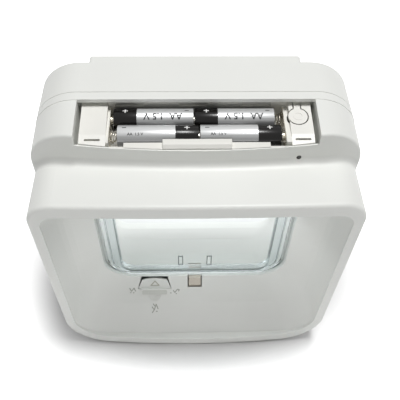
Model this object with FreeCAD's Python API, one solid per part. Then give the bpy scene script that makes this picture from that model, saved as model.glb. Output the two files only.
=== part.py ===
import FreeCAD, Part
import math
import os
from FreeCAD import Vector

# Cat flap, indoor unit: a moulded hood and funnel round a clear swinging flap, with a motor latch
# in the sill and an open battery bay on top. Millimetres. While it is drawn, X is to the right
# seen from indoors, Y runs from the plane of the rim towards the door, and Z starts at the
# bottom corners of the rim. The finished pieces are moved so that the origin is the centre of
# the four fixing screws on the door side.

X, Y, Z = Vector(1, 0, 0), Vector(0, 1, 0), Vector(0, 0, 1)
FAR = 400.0

# Small distances: a cut runs past a face by over, and joined pieces reach into each other by bite
over = 1.0
bite = 0.2

# Housing
unit_width = 210.0
unit_height = 217.0
hood_height = unit_height - 28.3
body_depth = 97.0
wall = 2.5
edge_bow = 4.0
rim_bow = 4.5
hood_top_radius = 19.0
box_top_radius = 30.0
bottom_radius = 35.0
rim_softness = 2.2
box_front = 28.2
box_front_radius = 570.0
box_front_drop = 3.0
box_edge_softness = 1.6
valley_radius = 5.0
valley_half_width = 104.0
lid_line = 61.5
lid_step = 0.4
shell_joint = 68.5
joint_groove = 0.4

# Funnel, from the rim to the flap opening
rim_inset = 7.6
rim_bottom = 11.0
rim_top = 10.5
funnel_start = 1.0
funnel_bow = 3.5
mouth_bottom_radius = 27.0
mouth_top_radius = 11.0
crease_depth = 18.0
crease_half_width = 89.6
crease_bottom = 32.5
crease_bow = 2.4
crease_bottom_radius = 29.0
crease_top = hood_height - 10.7
crease_top_radius = 14.0
crease_softness = 0.24
least_bow = 0.001
opening_depth = 34.0
opening_half_width = 72.7
opening_bottom = 46.0
opening_bottom_radius = 23.0
opening_top = hood_height - 15.7
opening_top_radius = 4.0

# Passage behind the flap
sill_back = 37.0
floor_height = 44.0
floor_radius = 21.0
sleeve_joint = 58.5
slope_start = 76.0
slope_start_height = 40.0
slope_end_height = 26.0
exit_half_width = 71.5
exit_floor = 24.6
exit_radius = 13.0
spigot_length = 7.5
back_box_half_width = 70.5
back_box_radius = 2.5
back_box_bottom = opening_top + 3.5
back_box_top = unit_height - 1.0
back_box_inner_radius = 1.0

# Flap
flap_play = 2.7
flap_gap = 1.5
flap_front = 35.0
flap_thickness = 8.0
flap_frame = 10.8
flap_lip = 4.0
flap_lip_step = 1.6
pane_thickness = 2.4
flap_bottom_radius = 21.0
flap_top_radius = 1.0
hinge_height = opening_top - 6.5
barrel_radius = 5.0
spindle_radius = 2.0
running_gap = 0.05
bush_radius = 4.0
bush_flange = 0.8
bush_flange_radius = 5.5
hinge_boss_radius = 7.0
hinge_boss_length = 5.0
lug_width = 4.0
lug_height = 13.0
lug_wall = 0.9
lug_spacing = 23.0
lug_rise = 2.2
lug_bottom = 58.6
seal_thickness = 1.2
seal_seat = 1.2
seal_gap = 0.6
seal_back = 0.8
seal_clearance = 0.02
seal_top = hinge_height - 10.5

# Latch
catch_width = 10.0
catch_front = 28.5
catch_shoulder = 32.0
catch_back = 34.6
catch_top = 46.1
catch_ramp_foot = 41.5
catch_stem = 4.6
catch_slot_side = 0.9
catch_slot_front = 1.1
catch_slot_back = 0.6
outer_catch_front = 44.5
outer_catch_depth = 4.0
outer_catch_drop = 0.2
catch_foot = 12.0
catch_softness = 0.5
carriage_bottom = 8.0
carriage_top = 33.5
rack_reach = 15.0
gear_module = 1.0
rack_teeth = 7
small_teeth = 12
large_teeth = 30
pinion_teeth = 10
backlash = 0.16
rack_face_front = 36.0
rack_face_back = 43.0
large_gear_front = 45.2
gear_height = 17.5
gear_face = 3.8
axle_radius = 1.5
bracket_front = 49.6
bracket_thickness = 2.4
bracket_side = 12.0
bracket_top = 36.0
bracket_rib = 4.0
bracket_rib_thickness = 1.6
bracket_post = 8.0
bracket_screw_inset = 4.0
motor_radius = 10.0
motor_length = 25.0
motor_shaft_radius = 1.0
motor_boss_radius = 3.0
motor_boss_length = 1.6
motor_end_length = 1.5
motor_flat = 0.77
shaft_reach = 2.0
fit_gap = 0.1

# Manual lock key in the sill panel
key_centre = -33.3
key_top_width = 20.5
key_foot_width = 26.8
key_crown = 1.3
key_gap = 0.5
key_pocket = 1.6
key_proud = 0.5
key_thickness = 3.0
key_length = 8.6
key_grip_width = 22.0
key_grip_length = 4.6
key_grip_rise = 1.8
key_grip_lift = 0.3
key_stem_thickness = 3.0
key_stem_length = 5.0
key_stem_inset = 4.0
key_pin_drop = 3.0
key_pin_radius = 1.0
scoop_radius = 14.0
scoop_depth = 0.8
scoop_offset = 2.0

# Battery bay and tray
cell_radius = 7.25
cell_length = 50.5
cell_nub_radius = 2.75
cell_nub = 1.0
cell_softness = 0.6
rear_row_depth = 57.0
front_row_depth = 42.5
row_height = unit_height - 13.5
row_shift = 2.0
cell_gap = 0.25
bay_half_width = 74.0
bay_wall = 2.0
bay_back = 66.6
bay_lip_height = unit_height - 11.0
bay_lip = 0.9
bay_seat_height = unit_height - 13.6
hook_pocket_places = (-42.0, -2.0, 38.0)
hook_pocket_width = 18.0
hook_pocket_height = 3.0
bay_ledge = 3.6
bay_ledge_height = unit_height - 19.0
bay_ledge_thickness = 2.0
tray_wall = 1.6
tray_left = -71.6
tray_right = 71.6
left_pad_inner = -53.8
right_pad_inner = 56.0
trough_right = 54.4
pad_back = 66.2
pad_front = 39.5
pad_back_height = unit_height - 5.0
pad_front_height = unit_height - 8.3
pad_base = unit_height - 17.4
pad_lip_radius = 2.2
clip_slot_width = 9.5
clip_slot_height = 1.3
clip_slot_front = 35.4
trough_floor = 1.8
trough_front = 33.8
trough_front_height = unit_height - 14.2
ledge_half_width = 44.5
ledge_height = unit_height - 10.7
ledge_back = 35.0
nose_gap = 0.2
nose_height = unit_height - 10.9
tab_half_width = 21.0
tab_front = 28.8
tab_edge = 30.9
tab_back = 35.5
tab_height = unit_height - 7.8
tab_radius = 0.6
trough_rise = 2.0
trough_hollow = 1.5
end_wall_drop = 1.0
back_wall_drop = 0.8
contact_thickness = 0.4
contact_half = 5.5
contact_gap = 0.1
spring_wire = 0.35
spring_turns = 3
spring_points = 12
spring_small = 2.2
spring_large = 4.6

# Settings button, light and electronics
button_x = 63.0
button_depth = 53.0
button_radius = 6.0
button_neck = 4.0
button_slit = 0.7
button_thickness = 1.6
button_plunger = 1.6
button_travel_room = 1.0
button_root_gap = 0.15
light_x = 63.0
light_height = unit_height - 21.0
light_radius = 1.5
light_back = 46.0
board_left = -60.0
board_right = 76.0
board_front = 34.0
board_back = 58.0
board_height = unit_height - 33.0
board_thickness = 1.6
board_screw_inset_x = 6.0
board_screw_inset_y = 4.0
board_screw_right = 30.0
chip_x = -10.0
chip_size = 12.0
chip_height = 1.6
capacitor_x = 16.0
capacitor_depth = 50.0
capacitor_radius = 4.0
capacitor_height = 6.0
plug_x = -40.0
plug_length = 12.0
plug_front = 42.0
plug_width = 6.0
plug_height = 6.0
led_size = 3.0
led_height = 1.4
led_gap = 0.2
switch_size = 6.0
switch_height = 3.5
switch_cap = 1.0
switch_cap_radius = 1.6

# Fasteners and fixing
fixing_height = 110.0
fixing_spacing_x = 180.0
fixing_spacing_z = 90.0
fixing_hole_radius = 1.9
fixing_hole_depth = 22.0
fixing_boss_radius = 5.0
screw_x = 90.0
screw_low = 38.0
screw_high = hood_height - 6.7
screw_radius = 1.5
screw_head_radius = 3.0
screw_head_height = 2.2
screw_length = 18.0
screw_seat = 74.5
screw_boss_radius = 5.0
screw_boss_length = 22.0
web = 2.0
screw_play = 0.3
small_screw_radius = 1.2
small_head_radius = 2.3
small_head_height = 1.4
small_screw_length = 7.0
small_boss_radius = 2.6
small_screw_play = 0.2
screw_tip_gap = 0.5
screw_slot_width = 0.3
screw_slot_length = 1.6
screw_hole_depth = 16.0

# Reader coil round the passage
coil_thickness = 2.4
coil_width = 4.0
coil_flange = 1.6
coil_core = 1.4
coil_fill_gap = 0.6
coil_side = 78.5
coil_bottom = 17.0
coil_top = opening_top + 7.0
coil_radius = 10.0
lead_radius = 0.9

hinge_depth = flap_front + flap_thickness / 2
flap_half_width = opening_half_width - flap_play
flap_bottom = opening_bottom + flap_gap
small_pitch = gear_module * small_teeth / 2
large_pitch = gear_module * large_teeth / 2
pinion_pitch = gear_module * pinion_teeth / 2
gear_x = rack_reach + 1.25 * gear_module + small_pitch
pinion_x = gear_x + large_pitch + pinion_pitch
panel_slope = math.atan2(opening_bottom - crease_bottom + crease_bow, opening_depth - crease_depth)
pad_slope = math.atan2(pad_back_height - pad_front_height, pad_back - pad_front)


def arc_radius(half_width, bow):
    """Radius of a shallow arc that rises by bow at the middle of its chord."""
    return (half_width ** 2 + bow ** 2) / (2 * bow)


def corner(half_width, edge, bow, radius, up):
    """Round corner between an upright side and a bowed edge: height of the side's end,
    middle point of the round, and its end on the bowed edge."""
    cx = half_width - radius
    if bow == 0:
        cz = edge - up * radius
        end = (cx, edge)
    else:
        big = arc_radius(half_width, bow)
        big_z = edge + up * (bow - big)
        cz = big_z + up * math.sqrt((big - radius) ** 2 - cx ** 2)
        k = big / (big - radius)
        end = (cx * k, big_z + (cz - big_z) * k)
    a = math.atan2(end[1] - cz, end[0] - cx) / 2
    return cz, (cx + radius * math.cos(a), cz + radius * math.sin(a)), end


def outline(y, half_width, bottom, top, bottom_radius, top_radius, bottom_bow=0.0, top_bow=0.0):
    """Upright closed outline at depth y: straight sides, round corners, bowed top and bottom."""
    lz, lm, le = corner(half_width, bottom, bottom_bow, bottom_radius, -1)
    hz, hm, he = corner(half_width, top, top_bow, top_radius, 1)

    def p(x, z):
        return Vector(x, y, z)

    def edge(a, b, mid, bow):
        if bow == 0:
            return Part.LineSegment(a, b).toShape()
        return Part.Arc(a, mid, b).toShape()

    low_mid = p(0, bottom - bottom_bow)
    high_mid = p(0, top + top_bow)
    edges = [
        edge(p(-le[0], le[1]), p(*le), low_mid, bottom_bow),
        Part.Arc(p(*le), p(*lm), p(half_width, lz)).toShape(),
        Part.LineSegment(p(half_width, lz), p(half_width, hz)).toShape(),
        Part.Arc(p(half_width, hz), p(*hm), p(*he)).toShape(),
        edge(p(*he), p(-he[0], he[1]), high_mid, top_bow),
        Part.Arc(p(-he[0], he[1]), p(-hm[0], hm[1]), p(-half_width, hz)).toShape(),
        Part.LineSegment(p(-half_width, hz), p(-half_width, lz)).toShape(),
        Part.Arc(p(-half_width, lz), p(-lm[0], lm[1]), p(-le[0], le[1])).toShape(),
    ]
    return Part.Wire(edges)


def run(wire, length):
    """Solid made by running a closed wire along Y."""
    return Part.Face(wire).extrude(Vector(0, length, 0))


def skin(*wires):
    """Solid between outlines, with straight walls from one to the next."""
    return Part.makeLoft(list(wires), True, True)


def block(x0, x1, y0, y1, z0, z1):
    return Part.makeBox(x1 - x0, y1 - y0, z1 - z0, Vector(x0, y0, z0))


def rod(radius, start, direction, length):
    return Part.makeCylinder(radius, length, start, direction)


def profile_x(points, x0, x1):
    """Solid of a closed profile in the YZ plane, run along X."""
    pts = [Vector(x0, y, z) for y, z in points]
    return Part.Face(Part.makePolygon(pts + pts[:1])).extrude(Vector(x1 - x0, 0, 0))


def profile_y(points, y0, y1):
    """Solid of a closed profile in the XZ plane, run along Y."""
    pts = [Vector(x, y0, z) for x, z in points]
    return Part.Face(Part.makePolygon(pts + pts[:1])).extrude(Vector(0, y1 - y0, 0))


def fuse(first, *others):
    return first.fuse(list(others)).removeSplitter()


def soften(shape, radius, chosen):
    """Round the edges whose middle point passes the test."""
    edges = []
    for e in shape.Edges:
        a, b = e.ParameterRange
        if chosen(e, e.valueAt((a + b) / 2)):
            edges.append(e)
    return shape.makeFillet(radius, edges)


def within_front(radius, front):
    """Everything behind an upright face that bulges towards the room."""
    return rod(radius, Vector(0, front + radius, -FAR / 2), Z, FAR * 1.5)


# Hollows of the housing

def funnel_sections(grow):
    """Outlines of the funnel, pushed outwards by grow."""
    half = unit_width / 2
    mouth = (half - rim_inset + grow, rim_bottom - grow, hood_height - rim_top + edge_bow - funnel_bow + grow,
             mouth_bottom_radius + grow, mouth_top_radius + grow, funnel_bow, funnel_bow)
    crease = (crease_half_width + grow, crease_bottom - grow, crease_top + grow,
              crease_bottom_radius + grow, crease_top_radius + grow, crease_bow, crease_bow)
    opening = (opening_half_width + grow, opening_bottom - grow, opening_top + grow,
               opening_bottom_radius + grow, opening_top_radius + grow)
    return mouth, crease, opening


def between(first, second, share):
    """Outline values part of the way from the first to the second."""
    return tuple(a + (b - a) * share for a, b in zip(first, second))


def funnel(grow=0.0):
    """Space in front of the flap opening."""
    mouth, crease, opening = [tuple(section) for section in funnel_sections(grow)]
    mouth = (funnel_start,) + mouth
    crease = (crease_depth,) + crease
    opening = (opening_depth,) + opening + (least_bow, least_bow)
    before = between(crease, mouth, crease_softness)
    after = between(crease, opening, crease_softness)
    middle = between(between(before, after, 0.5), crease, 0.5)
    start = -2 * rim_bow
    front = run(outline(start, *mouth[1:]), funnel_start - start)
    sections = [mouth, before, middle, after, opening]
    return fuse(front, *[skin(outline(*a), outline(*b)) for a, b in zip(sections, sections[1:])])


def passage(grow=0.0):
    """Space from the flap opening to the end of the front housing's floor."""
    opening = funnel_sections(grow)[2]
    floor = (opening_half_width + grow, floor_height - grow, opening_top + grow,
             floor_radius + grow, opening_top_radius + grow)
    sill = run(outline(opening_depth, *opening), sill_back - opening_depth)
    rear = run(outline(sill_back, *floor), shell_joint + 1 - sill_back)
    return fuse(sill, rear)


def sleeve(grow=0.0, start=sleeve_joint, overrun=1.0):
    """Space of the sleeve that leads to the door side, with its floor falling away."""
    top = opening_top + grow
    top_radius = opening_top_radius + grow
    back = body_depth + spigot_length + overrun
    first = outline(start, opening_half_width + grow, floor_height - grow, top,
                    floor_radius + grow, top_radius)
    second = outline(slope_start, opening_half_width + grow, slope_start_height - grow, top,
                     floor_radius + grow, top_radius)
    third = outline(body_depth, exit_half_width + grow, slope_end_height - grow, top,
                    exit_radius + grow, top_radius)
    last = outline(back, exit_half_width + grow, exit_floor - grow, top, exit_radius + grow, top_radius)
    return fuse(skin(first, second), skin(second, third), skin(third, last))


# Housing shells

def hood_outline(y, inset=0.0):
    return outline(y, unit_width / 2 - inset, inset, hood_height - inset, bottom_radius - inset,
                   hood_top_radius - inset, edge_bow, edge_bow)


def box_outline(y, height, inset=0.0):
    return outline(y, unit_width / 2 - inset, hood_height / 2, height - inset, box_top_radius - inset,
                   box_top_radius - inset)


def box_solid(end, inset=0.0):
    """Battery box above the hood: its top falls a little towards the room in front of the lid line."""
    start = box_front - 10
    fall = box_front_drop * (lid_line - start) / (lid_line - box_front)
    front = skin(box_outline(start, unit_height - lid_step - fall, inset),
                 box_outline(lid_line, unit_height - lid_step, inset))
    back = run(box_outline(lid_line, unit_height, inset), end - lid_line)
    solid = fuse(front, back)
    return solid.common(within_front(box_front_radius - inset, box_front + inset))


def outside(end):
    """Outer form of the unit up to depth end, with its edges softened."""
    rim_radius = arc_radius(unit_width / 2, rim_bow)
    hood = run(hood_outline(-2 * rim_bow), end + 2 * rim_bow)
    hood = hood.common(within_front(rim_radius, -rim_bow))
    hood = soften(hood, rim_softness,
                  lambda e, m: m.y < rim_softness and e.Length > 5 and e.BoundBox.YLength < 2 * rim_bow)
    box = box_solid(end)
    box = soften(box, box_edge_softness,
                 lambda e, m: m.z > hood_height - 15 and m.y < lid_line - 20 and e.BoundBox.ZLength < 60
                 and e.BoundBox.XLength > 5)
    body = fuse(hood, box)
    soft = soften(body, valley_radius,
                  lambda e, m: box_front - 8 < m.y < box_front + 17
                  and hood_height - 24 < m.z < hood_height + edge_bow + 3 and e.BoundBox.XLength > 2)
    middle = block(-valley_half_width, valley_half_width, -FAR, FAR, -FAR, FAR)
    return fuse(soft.common(middle), body.cut(middle))


def joint_ring(start, length):
    """Shallow groove round the outside."""
    outer = fuse(run(hood_outline(start), length), run(box_outline(start, unit_height), length))
    inner = fuse(run(hood_outline(start, joint_groove), length),
                 run(box_outline(start, unit_height, joint_groove), length))
    return outer.cut(inner)


def boss_positions():
    return [(sx * screw_x, z) for sx in (-1, 1) for z in (screw_low, screw_high)]


def fixing_positions():
    return [(sx * fixing_spacing_x / 2, fixing_height + sz * fixing_spacing_z / 2)
            for sx in (-1, 1) for sz in (-1, 1)]


def on_panel(along, out):
    """Depth and height of a point of the sloping sill panel, given along it from the crease and out of it."""
    y = crease_depth + along * math.cos(panel_slope) - out * math.sin(panel_slope)
    z = crease_bottom - crease_bow + along * math.sin(panel_slope) + out * math.cos(panel_slope)
    return y, z


panel_length = math.hypot(opening_depth - crease_depth, opening_bottom - crease_bottom + crease_bow)
key_foot = panel_length - key_pocket - key_length


def key_plate(grow, top_grow, out0, out1, crown):
    """Tapered plate of the lock key, lying in the sill panel's plane."""
    top = panel_length - key_pocket + top_grow
    half_top = key_top_width / 2 + grow
    half_foot = key_foot_width / 2 + grow
    low = key_foot - grow

    def p(x, along, out):
        y, z = on_panel(along, out)
        return Vector(key_centre + x, y, z)

    a, b = p(-half_foot, low, out0), p(half_foot, low, out0)
    c, d = p(half_top, top - crown, out0), p(-half_top, top - crown, out0)
    edges = [Part.LineSegment(a, b).toShape(), Part.LineSegment(b, c).toShape()]
    if crown > 0:
        edges.append(Part.Arc(c, p(0, top, out0), d).toShape())
    else:
        edges.append(Part.LineSegment(c, d).toShape())
    edges.append(Part.LineSegment(d, a).toShape())
    return Part.Face(Part.Wire(edges)).extrude(p(0, 0, out1) - p(0, 0, out0))


def catch_slot():
    """Slot of the latch catch in the sill."""
    half = catch_width / 2 + catch_slot_side
    return block(-half, half, catch_front - catch_slot_front, catch_back + catch_slot_back,
                 carriage_top, opening_bottom + 10)


def outer_catch_slot():
    half = catch_width / 2 + catch_slot_side / 2
    back = outer_catch_front + outer_catch_depth
    return block(-half, half, outer_catch_front - catch_slot_back, back + catch_slot_back,
                 carriage_top, floor_height + 5 * over)


def bay_well(end):
    """Walls of the battery bay under the top of the housing, with the ledges that carry the tray."""
    outer = block(-bay_half_width - bay_wall, bay_half_width + bay_wall, box_front, bay_back + bay_wall,
                  bay_ledge_height - bay_ledge_thickness, unit_height)
    inner = block(-bay_half_width, bay_half_width, box_front - 5, bay_back,
                  bay_ledge_height - 10, unit_height + 5)
    well = outer.cut(inner)
    for side in (-1, 1):
        x0 = side * bay_half_width
        x1 = side * (bay_half_width - bay_ledge)
        ledge = block(min(x0, x1), max(x0, x1), pad_front, bay_back,
                      bay_ledge_height - bay_ledge_thickness, bay_ledge_height)
        well = well.fuse(ledge)
    return well.common(box_solid(end, wall / 2))


def bay_opening():
    """What the open bay takes out of the top and of the upper edge of the front face."""
    opening = block(-bay_half_width, bay_half_width, 0, lid_line, bay_lip_height, unit_height + 5)
    seat = block(-bay_half_width, bay_half_width, 0, pad_front, bay_seat_height, bay_lip_height + over)
    return opening.fuse(seat.common(box_solid(shell_joint, bay_lip)))


def front_housing():
    """Front shell: hood, rim, funnel, sill, short passage floor and the front half of the battery box."""
    body = outside(shell_joint)
    solid_funnel = funnel(wall)
    solid_passage = passage(wall)
    inside = run(hood_outline(wall * 1.6, wall), shell_joint + 1 - wall * 1.6)
    inside = inside.common(within_front(arc_radius(unit_width / 2, rim_bow) - wall, wall - rim_bow))
    inside = fuse(inside, box_solid(shell_joint + 1, wall))
    inside = inside.cut(solid_funnel).cut(solid_passage)
    shell = body.cut(inside)
    bosses = []
    for x, z in boss_positions():
        bosses.append(rod(screw_boss_radius, Vector(x, shell_joint - screw_boss_length, z), Y,
                          screw_boss_length))
        x0, x1 = sorted((x, math.copysign(unit_width / 2 - wall / 2, x)))
        bosses.append(block(x0, x1, shell_joint - screw_boss_length, shell_joint, z - web / 2, z + web / 2))
    for side in (-1, 1):
        x0 = opening_half_width + wall / 2
        bosses.append(rod(hinge_boss_radius, Vector(side * x0, hinge_depth, hinge_height),
                          Vector(side, 0, 0), hinge_boss_length + wall / 2))
    for x, y in board_screw_positions():
        bosses.append(rod(small_boss_radius, Vector(x, y, opening_top + wall / 2), Z,
                          board_height - opening_top - wall / 2))
    for x, z in bracket_screw_positions():
        top = floor_height - wall / 2
        y0 = bracket_front + bracket_thickness
        bosses.append(block(x - small_boss_radius, x + small_boss_radius, y0, y0 + bracket_post,
                            z - small_boss_radius, top))
    shell = fuse(shell, bay_well(shell_joint), *bosses)
    shell = shell.cut(funnel()).cut(passage())
    shell = shell.cut(sleeve_seat()).cut(bay_opening())
    cuts = [catch_slot(), outer_catch_slot(), seal_solid(seal_clearance)]
    cuts.append(joint_ring(shell_joint - joint_groove, joint_groove + 1))
    cuts.append(key_plate(key_gap, key_pocket, -wall * 3, wall * 3, 0.0))
    cuts.append(rod(light_radius + fit_gap, Vector(light_x, box_front, light_height), Y, 12))
    for x, z in boss_positions():
        cuts.append(rod(screw_radius, Vector(x, shell_joint - screw_hole_depth, z), Y,
                        screw_hole_depth + over))
    for side in (-1, 1):
        start = Vector(side * (opening_half_width - over), hinge_depth, hinge_height)
        cuts.append(rod(bush_radius, start, Vector(side, 0, 0), hinge_boss_length + wall + 2 * over))
        cuts.append(rod(bush_flange_radius, start, Vector(side, 0, 0), over + bush_flange))
    for x, y in board_screw_positions():
        cuts.append(rod(small_screw_radius, Vector(x, y, board_height + board_thickness - small_screw_length),
                        Z, small_screw_length))
    for x, z in bracket_screw_positions():
        cuts.append(rod(small_screw_radius, Vector(x, bracket_front, z), Y, small_screw_length))
    scoop_y, scoop_z = on_panel(key_foot - key_grip_length - scoop_offset, scoop_radius - scoop_depth)
    cuts.append(Part.makeSphere(scoop_radius, Vector(key_centre, scoop_y, scoop_z)))
    return shell.cut(cuts)


def sleeve_seat():
    """Room that the sleeve of the rear housing takes at the end of the passage."""
    return sleeve(wall, sleeve_joint, 0).common(block(-FAR, FAR, sleeve_joint, shell_joint + 2, -FAR, FAR))


def rear_housing():
    """Rear shell: back of the battery box, the sleeve of the passage and the bosses for the door screws."""
    hood = run(hood_outline(shell_joint), body_depth - shell_joint)
    box = run(box_outline(shell_joint, unit_height), body_depth - shell_joint)
    inside_hood = run(hood_outline(shell_joint - 1, wall), body_depth - wall - shell_joint + 1)
    inside_box = run(box_outline(shell_joint - 1, unit_height, wall), body_depth - wall - shell_joint + 1)
    shell = fuse(hood, box).cut(fuse(inside_hood, inside_box))
    spigot = run(outline(body_depth - wall, exit_half_width + wall, exit_floor - wall, opening_top + wall,
                         exit_radius + wall, opening_top_radius + wall), wall + spigot_length)
    back_box = run(outline(body_depth - wall, back_box_half_width, back_box_bottom - wall,
                           back_box_top, back_box_radius, back_box_radius), wall + spigot_length)
    tube = sleeve(wall, sleeve_joint, 0).common(block(-FAR, FAR, 0, body_depth, -FAR, FAR))
    parts = [spigot, back_box, tube]
    for x, z in boss_positions():
        parts.append(rod(screw_boss_radius, Vector(x, shell_joint, z), Y, body_depth - shell_joint))
    for x, z in fixing_positions():
        parts.append(rod(fixing_boss_radius, Vector(x, body_depth - fixing_hole_depth - wall, z), Y,
                         fixing_hole_depth + wall))
    shell = fuse(shell, *parts)
    cuts = [sleeve()]
    cuts.append(run(outline(body_depth - 2 * wall, back_box_half_width - wall, back_box_bottom + wall,
                            back_box_top - wall, back_box_inner_radius, back_box_inner_radius),
                    wall + spigot_length))
    for x, z in boss_positions():
        cuts.append(rod(screw_radius + screw_play, Vector(x, shell_joint - 1, z), Y, body_depth))
        cuts.append(rod(screw_head_radius + screw_play, Vector(x, screw_seat, z), Y, body_depth))
    for x, z in fixing_positions():
        cuts.append(rod(fixing_hole_radius, Vector(x, body_depth - fixing_hole_depth, z), Y,
                        fixing_hole_depth + over))
    return shell.cut(cuts)


# Flap

def flap_outline(y, inset):
    return outline(y, flap_half_width - inset, flap_bottom + inset, hinge_height,
                   flap_bottom_radius - inset, flap_top_radius)


def flap_panel():
    """Clear flap: thick stepped frame, thin pane, hinge barrel and two open lugs."""
    back = flap_front + flap_thickness
    pane_front = hinge_depth - pane_thickness / 2
    lip = run(flap_outline(flap_front + flap_lip_step, 0), flap_thickness - 2 * flap_lip_step)
    frame = run(flap_outline(flap_front, flap_lip), flap_thickness)
    frame = frame.cut(block(-FAR, FAR, flap_front - 1, back + 1, hinge_height - barrel_radius, FAR))
    body = lip.fuse(frame)
    window = outline(flap_front - 1, flap_half_width - flap_frame, flap_bottom + flap_frame,
                     hinge_height - 2 * barrel_radius, flap_bottom_radius - flap_frame, 4.0)
    body = body.cut(run(window, flap_thickness + 2))
    pane_wire = outline(pane_front, flap_half_width - flap_frame, flap_bottom + flap_frame,
                        hinge_height - 2 * barrel_radius, flap_bottom_radius - flap_frame, 4.0)
    pane = run(pane_wire, pane_thickness)
    barrel = rod(barrel_radius, Vector(-flap_half_width, hinge_depth, hinge_height), X, 2 * flap_half_width)
    lugs = []
    for side in (-1, 1):
        x = side * lug_spacing / 2
        outer = block(x - lug_width / 2, x + lug_width / 2, pane_front - lug_rise, pane_front + 0.5,
                      lug_bottom, lug_bottom + lug_height)
        inner = block(x - lug_width / 2 + lug_wall, x + lug_width / 2 - lug_wall,
                      pane_front - lug_rise - over, pane_front,
                      lug_bottom + lug_wall, lug_bottom + lug_height - lug_wall)
        lugs.append(outer.cut(inner))
    body = fuse(body, pane, barrel, *lugs)
    return body.cut(rod(spindle_radius, Vector(-FAR / 2, hinge_depth, hinge_height), X, FAR))


def flap_spindle():
    reach = opening_half_width + wall + hinge_boss_length - 1.5
    return rod(spindle_radius, Vector(-reach, hinge_depth, hinge_height), X, 2 * reach)


def spindle_bush(side):
    """Flanged bush in the passage wall that carries one end of the spindle."""
    start = Vector(side * opening_half_width, hinge_depth, hinge_height)
    out = Vector(side, 0, 0)
    sleeve_part = rod(bush_radius, start, out, hinge_boss_length + wall)
    flange = rod(bush_flange_radius, start, out, bush_flange)
    bore = rod(spindle_radius + running_gap, start - out, out, hinge_boss_length + wall + 3)
    return fuse(sleeve_part, flange).cut(bore)


def seal_solid(grow=0.0):
    """Soft strip in a groove round the sides and the bottom of the opening."""
    y0 = hinge_depth - seal_thickness / 2 + seal_back
    seat = seal_seat + grow
    outer = run(outline(y0 - grow, opening_half_width + seat, floor_height - seat, seal_top + 20,
                        floor_radius + seat, 2.0), seal_thickness + 2 * grow)
    reach = flap_half_width + seal_gap
    rise = flap_bottom - seal_gap
    inner = run(outline(y0 - over, reach, rise, seal_top + 40, flap_bottom_radius + seal_gap, 2.0),
                seal_thickness + 2 * over)
    keep = block(-FAR, FAR, 0, FAR, -FAR, seal_top + grow)
    return outer.cut(inner).common(keep)


# Latch and its drive

def tooth_half_angle(radius, pitch, base, teeth):
    """Half the angle that a tooth fills at a radius, on involute flanks."""
    pressure = math.acos(base / pitch)
    half = math.pi / (2 * teeth) - backlash / (4 * pitch)
    half += math.tan(pressure) - pressure
    if radius <= base:
        return half
    a = math.acos(base / radius)
    return half - (math.tan(a) - a)


def gear(teeth, phase, x, z, y0, y1):
    """Spur gear with its axis along Y."""
    pitch = gear_module * teeth / 2
    base = pitch * math.cos(math.radians(20))
    root = pitch - 1.25 * gear_module
    tip = pitch + 0.95 * gear_module
    points = []
    for k in range(teeth):
        mid = phase + 2 * math.pi * k / teeth
        radii = [root, max(base, root), pitch, (pitch + tip) / 2, tip]
        for side, order in ((-1, radii), (1, radii[::-1])):
            for r in order:
                a = mid + side * tooth_half_angle(r, pitch, base, teeth)
                points.append((x + r * math.cos(a), z + r * math.sin(a)))
    clean = [points[0]]
    for p in points[1:]:
        if math.hypot(p[0] - clean[-1][0], p[1] - clean[-1][1]) > 1e-3:
            clean.append(p)
    return profile_y(clean, y0, y1)


def rack():
    """Toothed edge of the carriage, in mesh with the small gear."""
    pitch = math.pi * gear_module
    half = pitch / 4 - backlash / 4
    slope = math.tan(math.radians(20))
    line = rack_reach + 1.25 * gear_module
    solids = []
    first = -(rack_teeth // 2) - 1
    for k in range(first, first + rack_teeth):
        z = gear_height + k * pitch
        low, high = half + 1.25 * gear_module * slope, half - 0.95 * gear_module * slope
        points = [(rack_reach - 0.5, z - low), (rack_reach, z - low), (line + 0.95 * gear_module, z - high),
                  (line + 0.95 * gear_module, z + high), (rack_reach, z + low), (rack_reach - 0.5, z + low)]
        solids.append(profile_y(points, rack_face_front, rack_face_back))
    return solids


def latch_carriage():
    """Block that ties both catches together under the sill, with the rack on its side."""
    half = catch_width / 2
    body = block(-half, half, catch_back, outer_catch_front, carriage_bottom, carriage_top)
    arm = block(half - 1, rack_reach, rack_face_front, rack_face_back, rack_bottom(), rack_top())
    return fuse(body, arm, *rack())


def rack_bottom():
    return gear_height + (-(rack_teeth // 2) - 1.5) * math.pi * gear_module


def rack_top():
    return rack_bottom() + rack_teeth * math.pi * gear_module


def latch_catch():
    """Grey tongue in front of the flap, with a ramped nose and a stem down to the carriage."""
    half = catch_width / 2
    stem_front = catch_back - catch_stem
    points = [(catch_front, catch_ramp_foot), (catch_shoulder, catch_top), (catch_back, catch_top),
              (catch_back, catch_foot), (stem_front, catch_foot), (stem_front, catch_ramp_foot - 5),
              (catch_front, catch_ramp_foot - 3)]
    tongue = profile_x(points, -half, half)
    return soften(tongue, catch_softness,
                  lambda e, m: abs(m.x) > half - 0.01 and m.z > catch_ramp_foot + 0.5
                  and m.y < catch_back - 0.1)


def outer_catch():
    half = catch_width / 2
    pin = block(-half, half, outer_catch_front, outer_catch_front + outer_catch_depth, catch_foot,
                floor_height - outer_catch_drop)
    return soften(pin, catch_softness, lambda e, m: m.z > floor_height - outer_catch_drop - 0.01)


def latch_gear():
    """Large gear and small gear in one piece, on the fixed axle."""
    small = gear(small_teeth, math.pi / small_teeth, gear_x, gear_height, rack_face_front, large_gear_front)
    large = gear(large_teeth, 0.0, gear_x, gear_height, large_gear_front, large_gear_front + gear_face)
    bore = rod(axle_radius + running_gap, Vector(gear_x, rack_face_front - 1, gear_height), Y, 20)
    return fuse(small, large).cut(bore)


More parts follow.
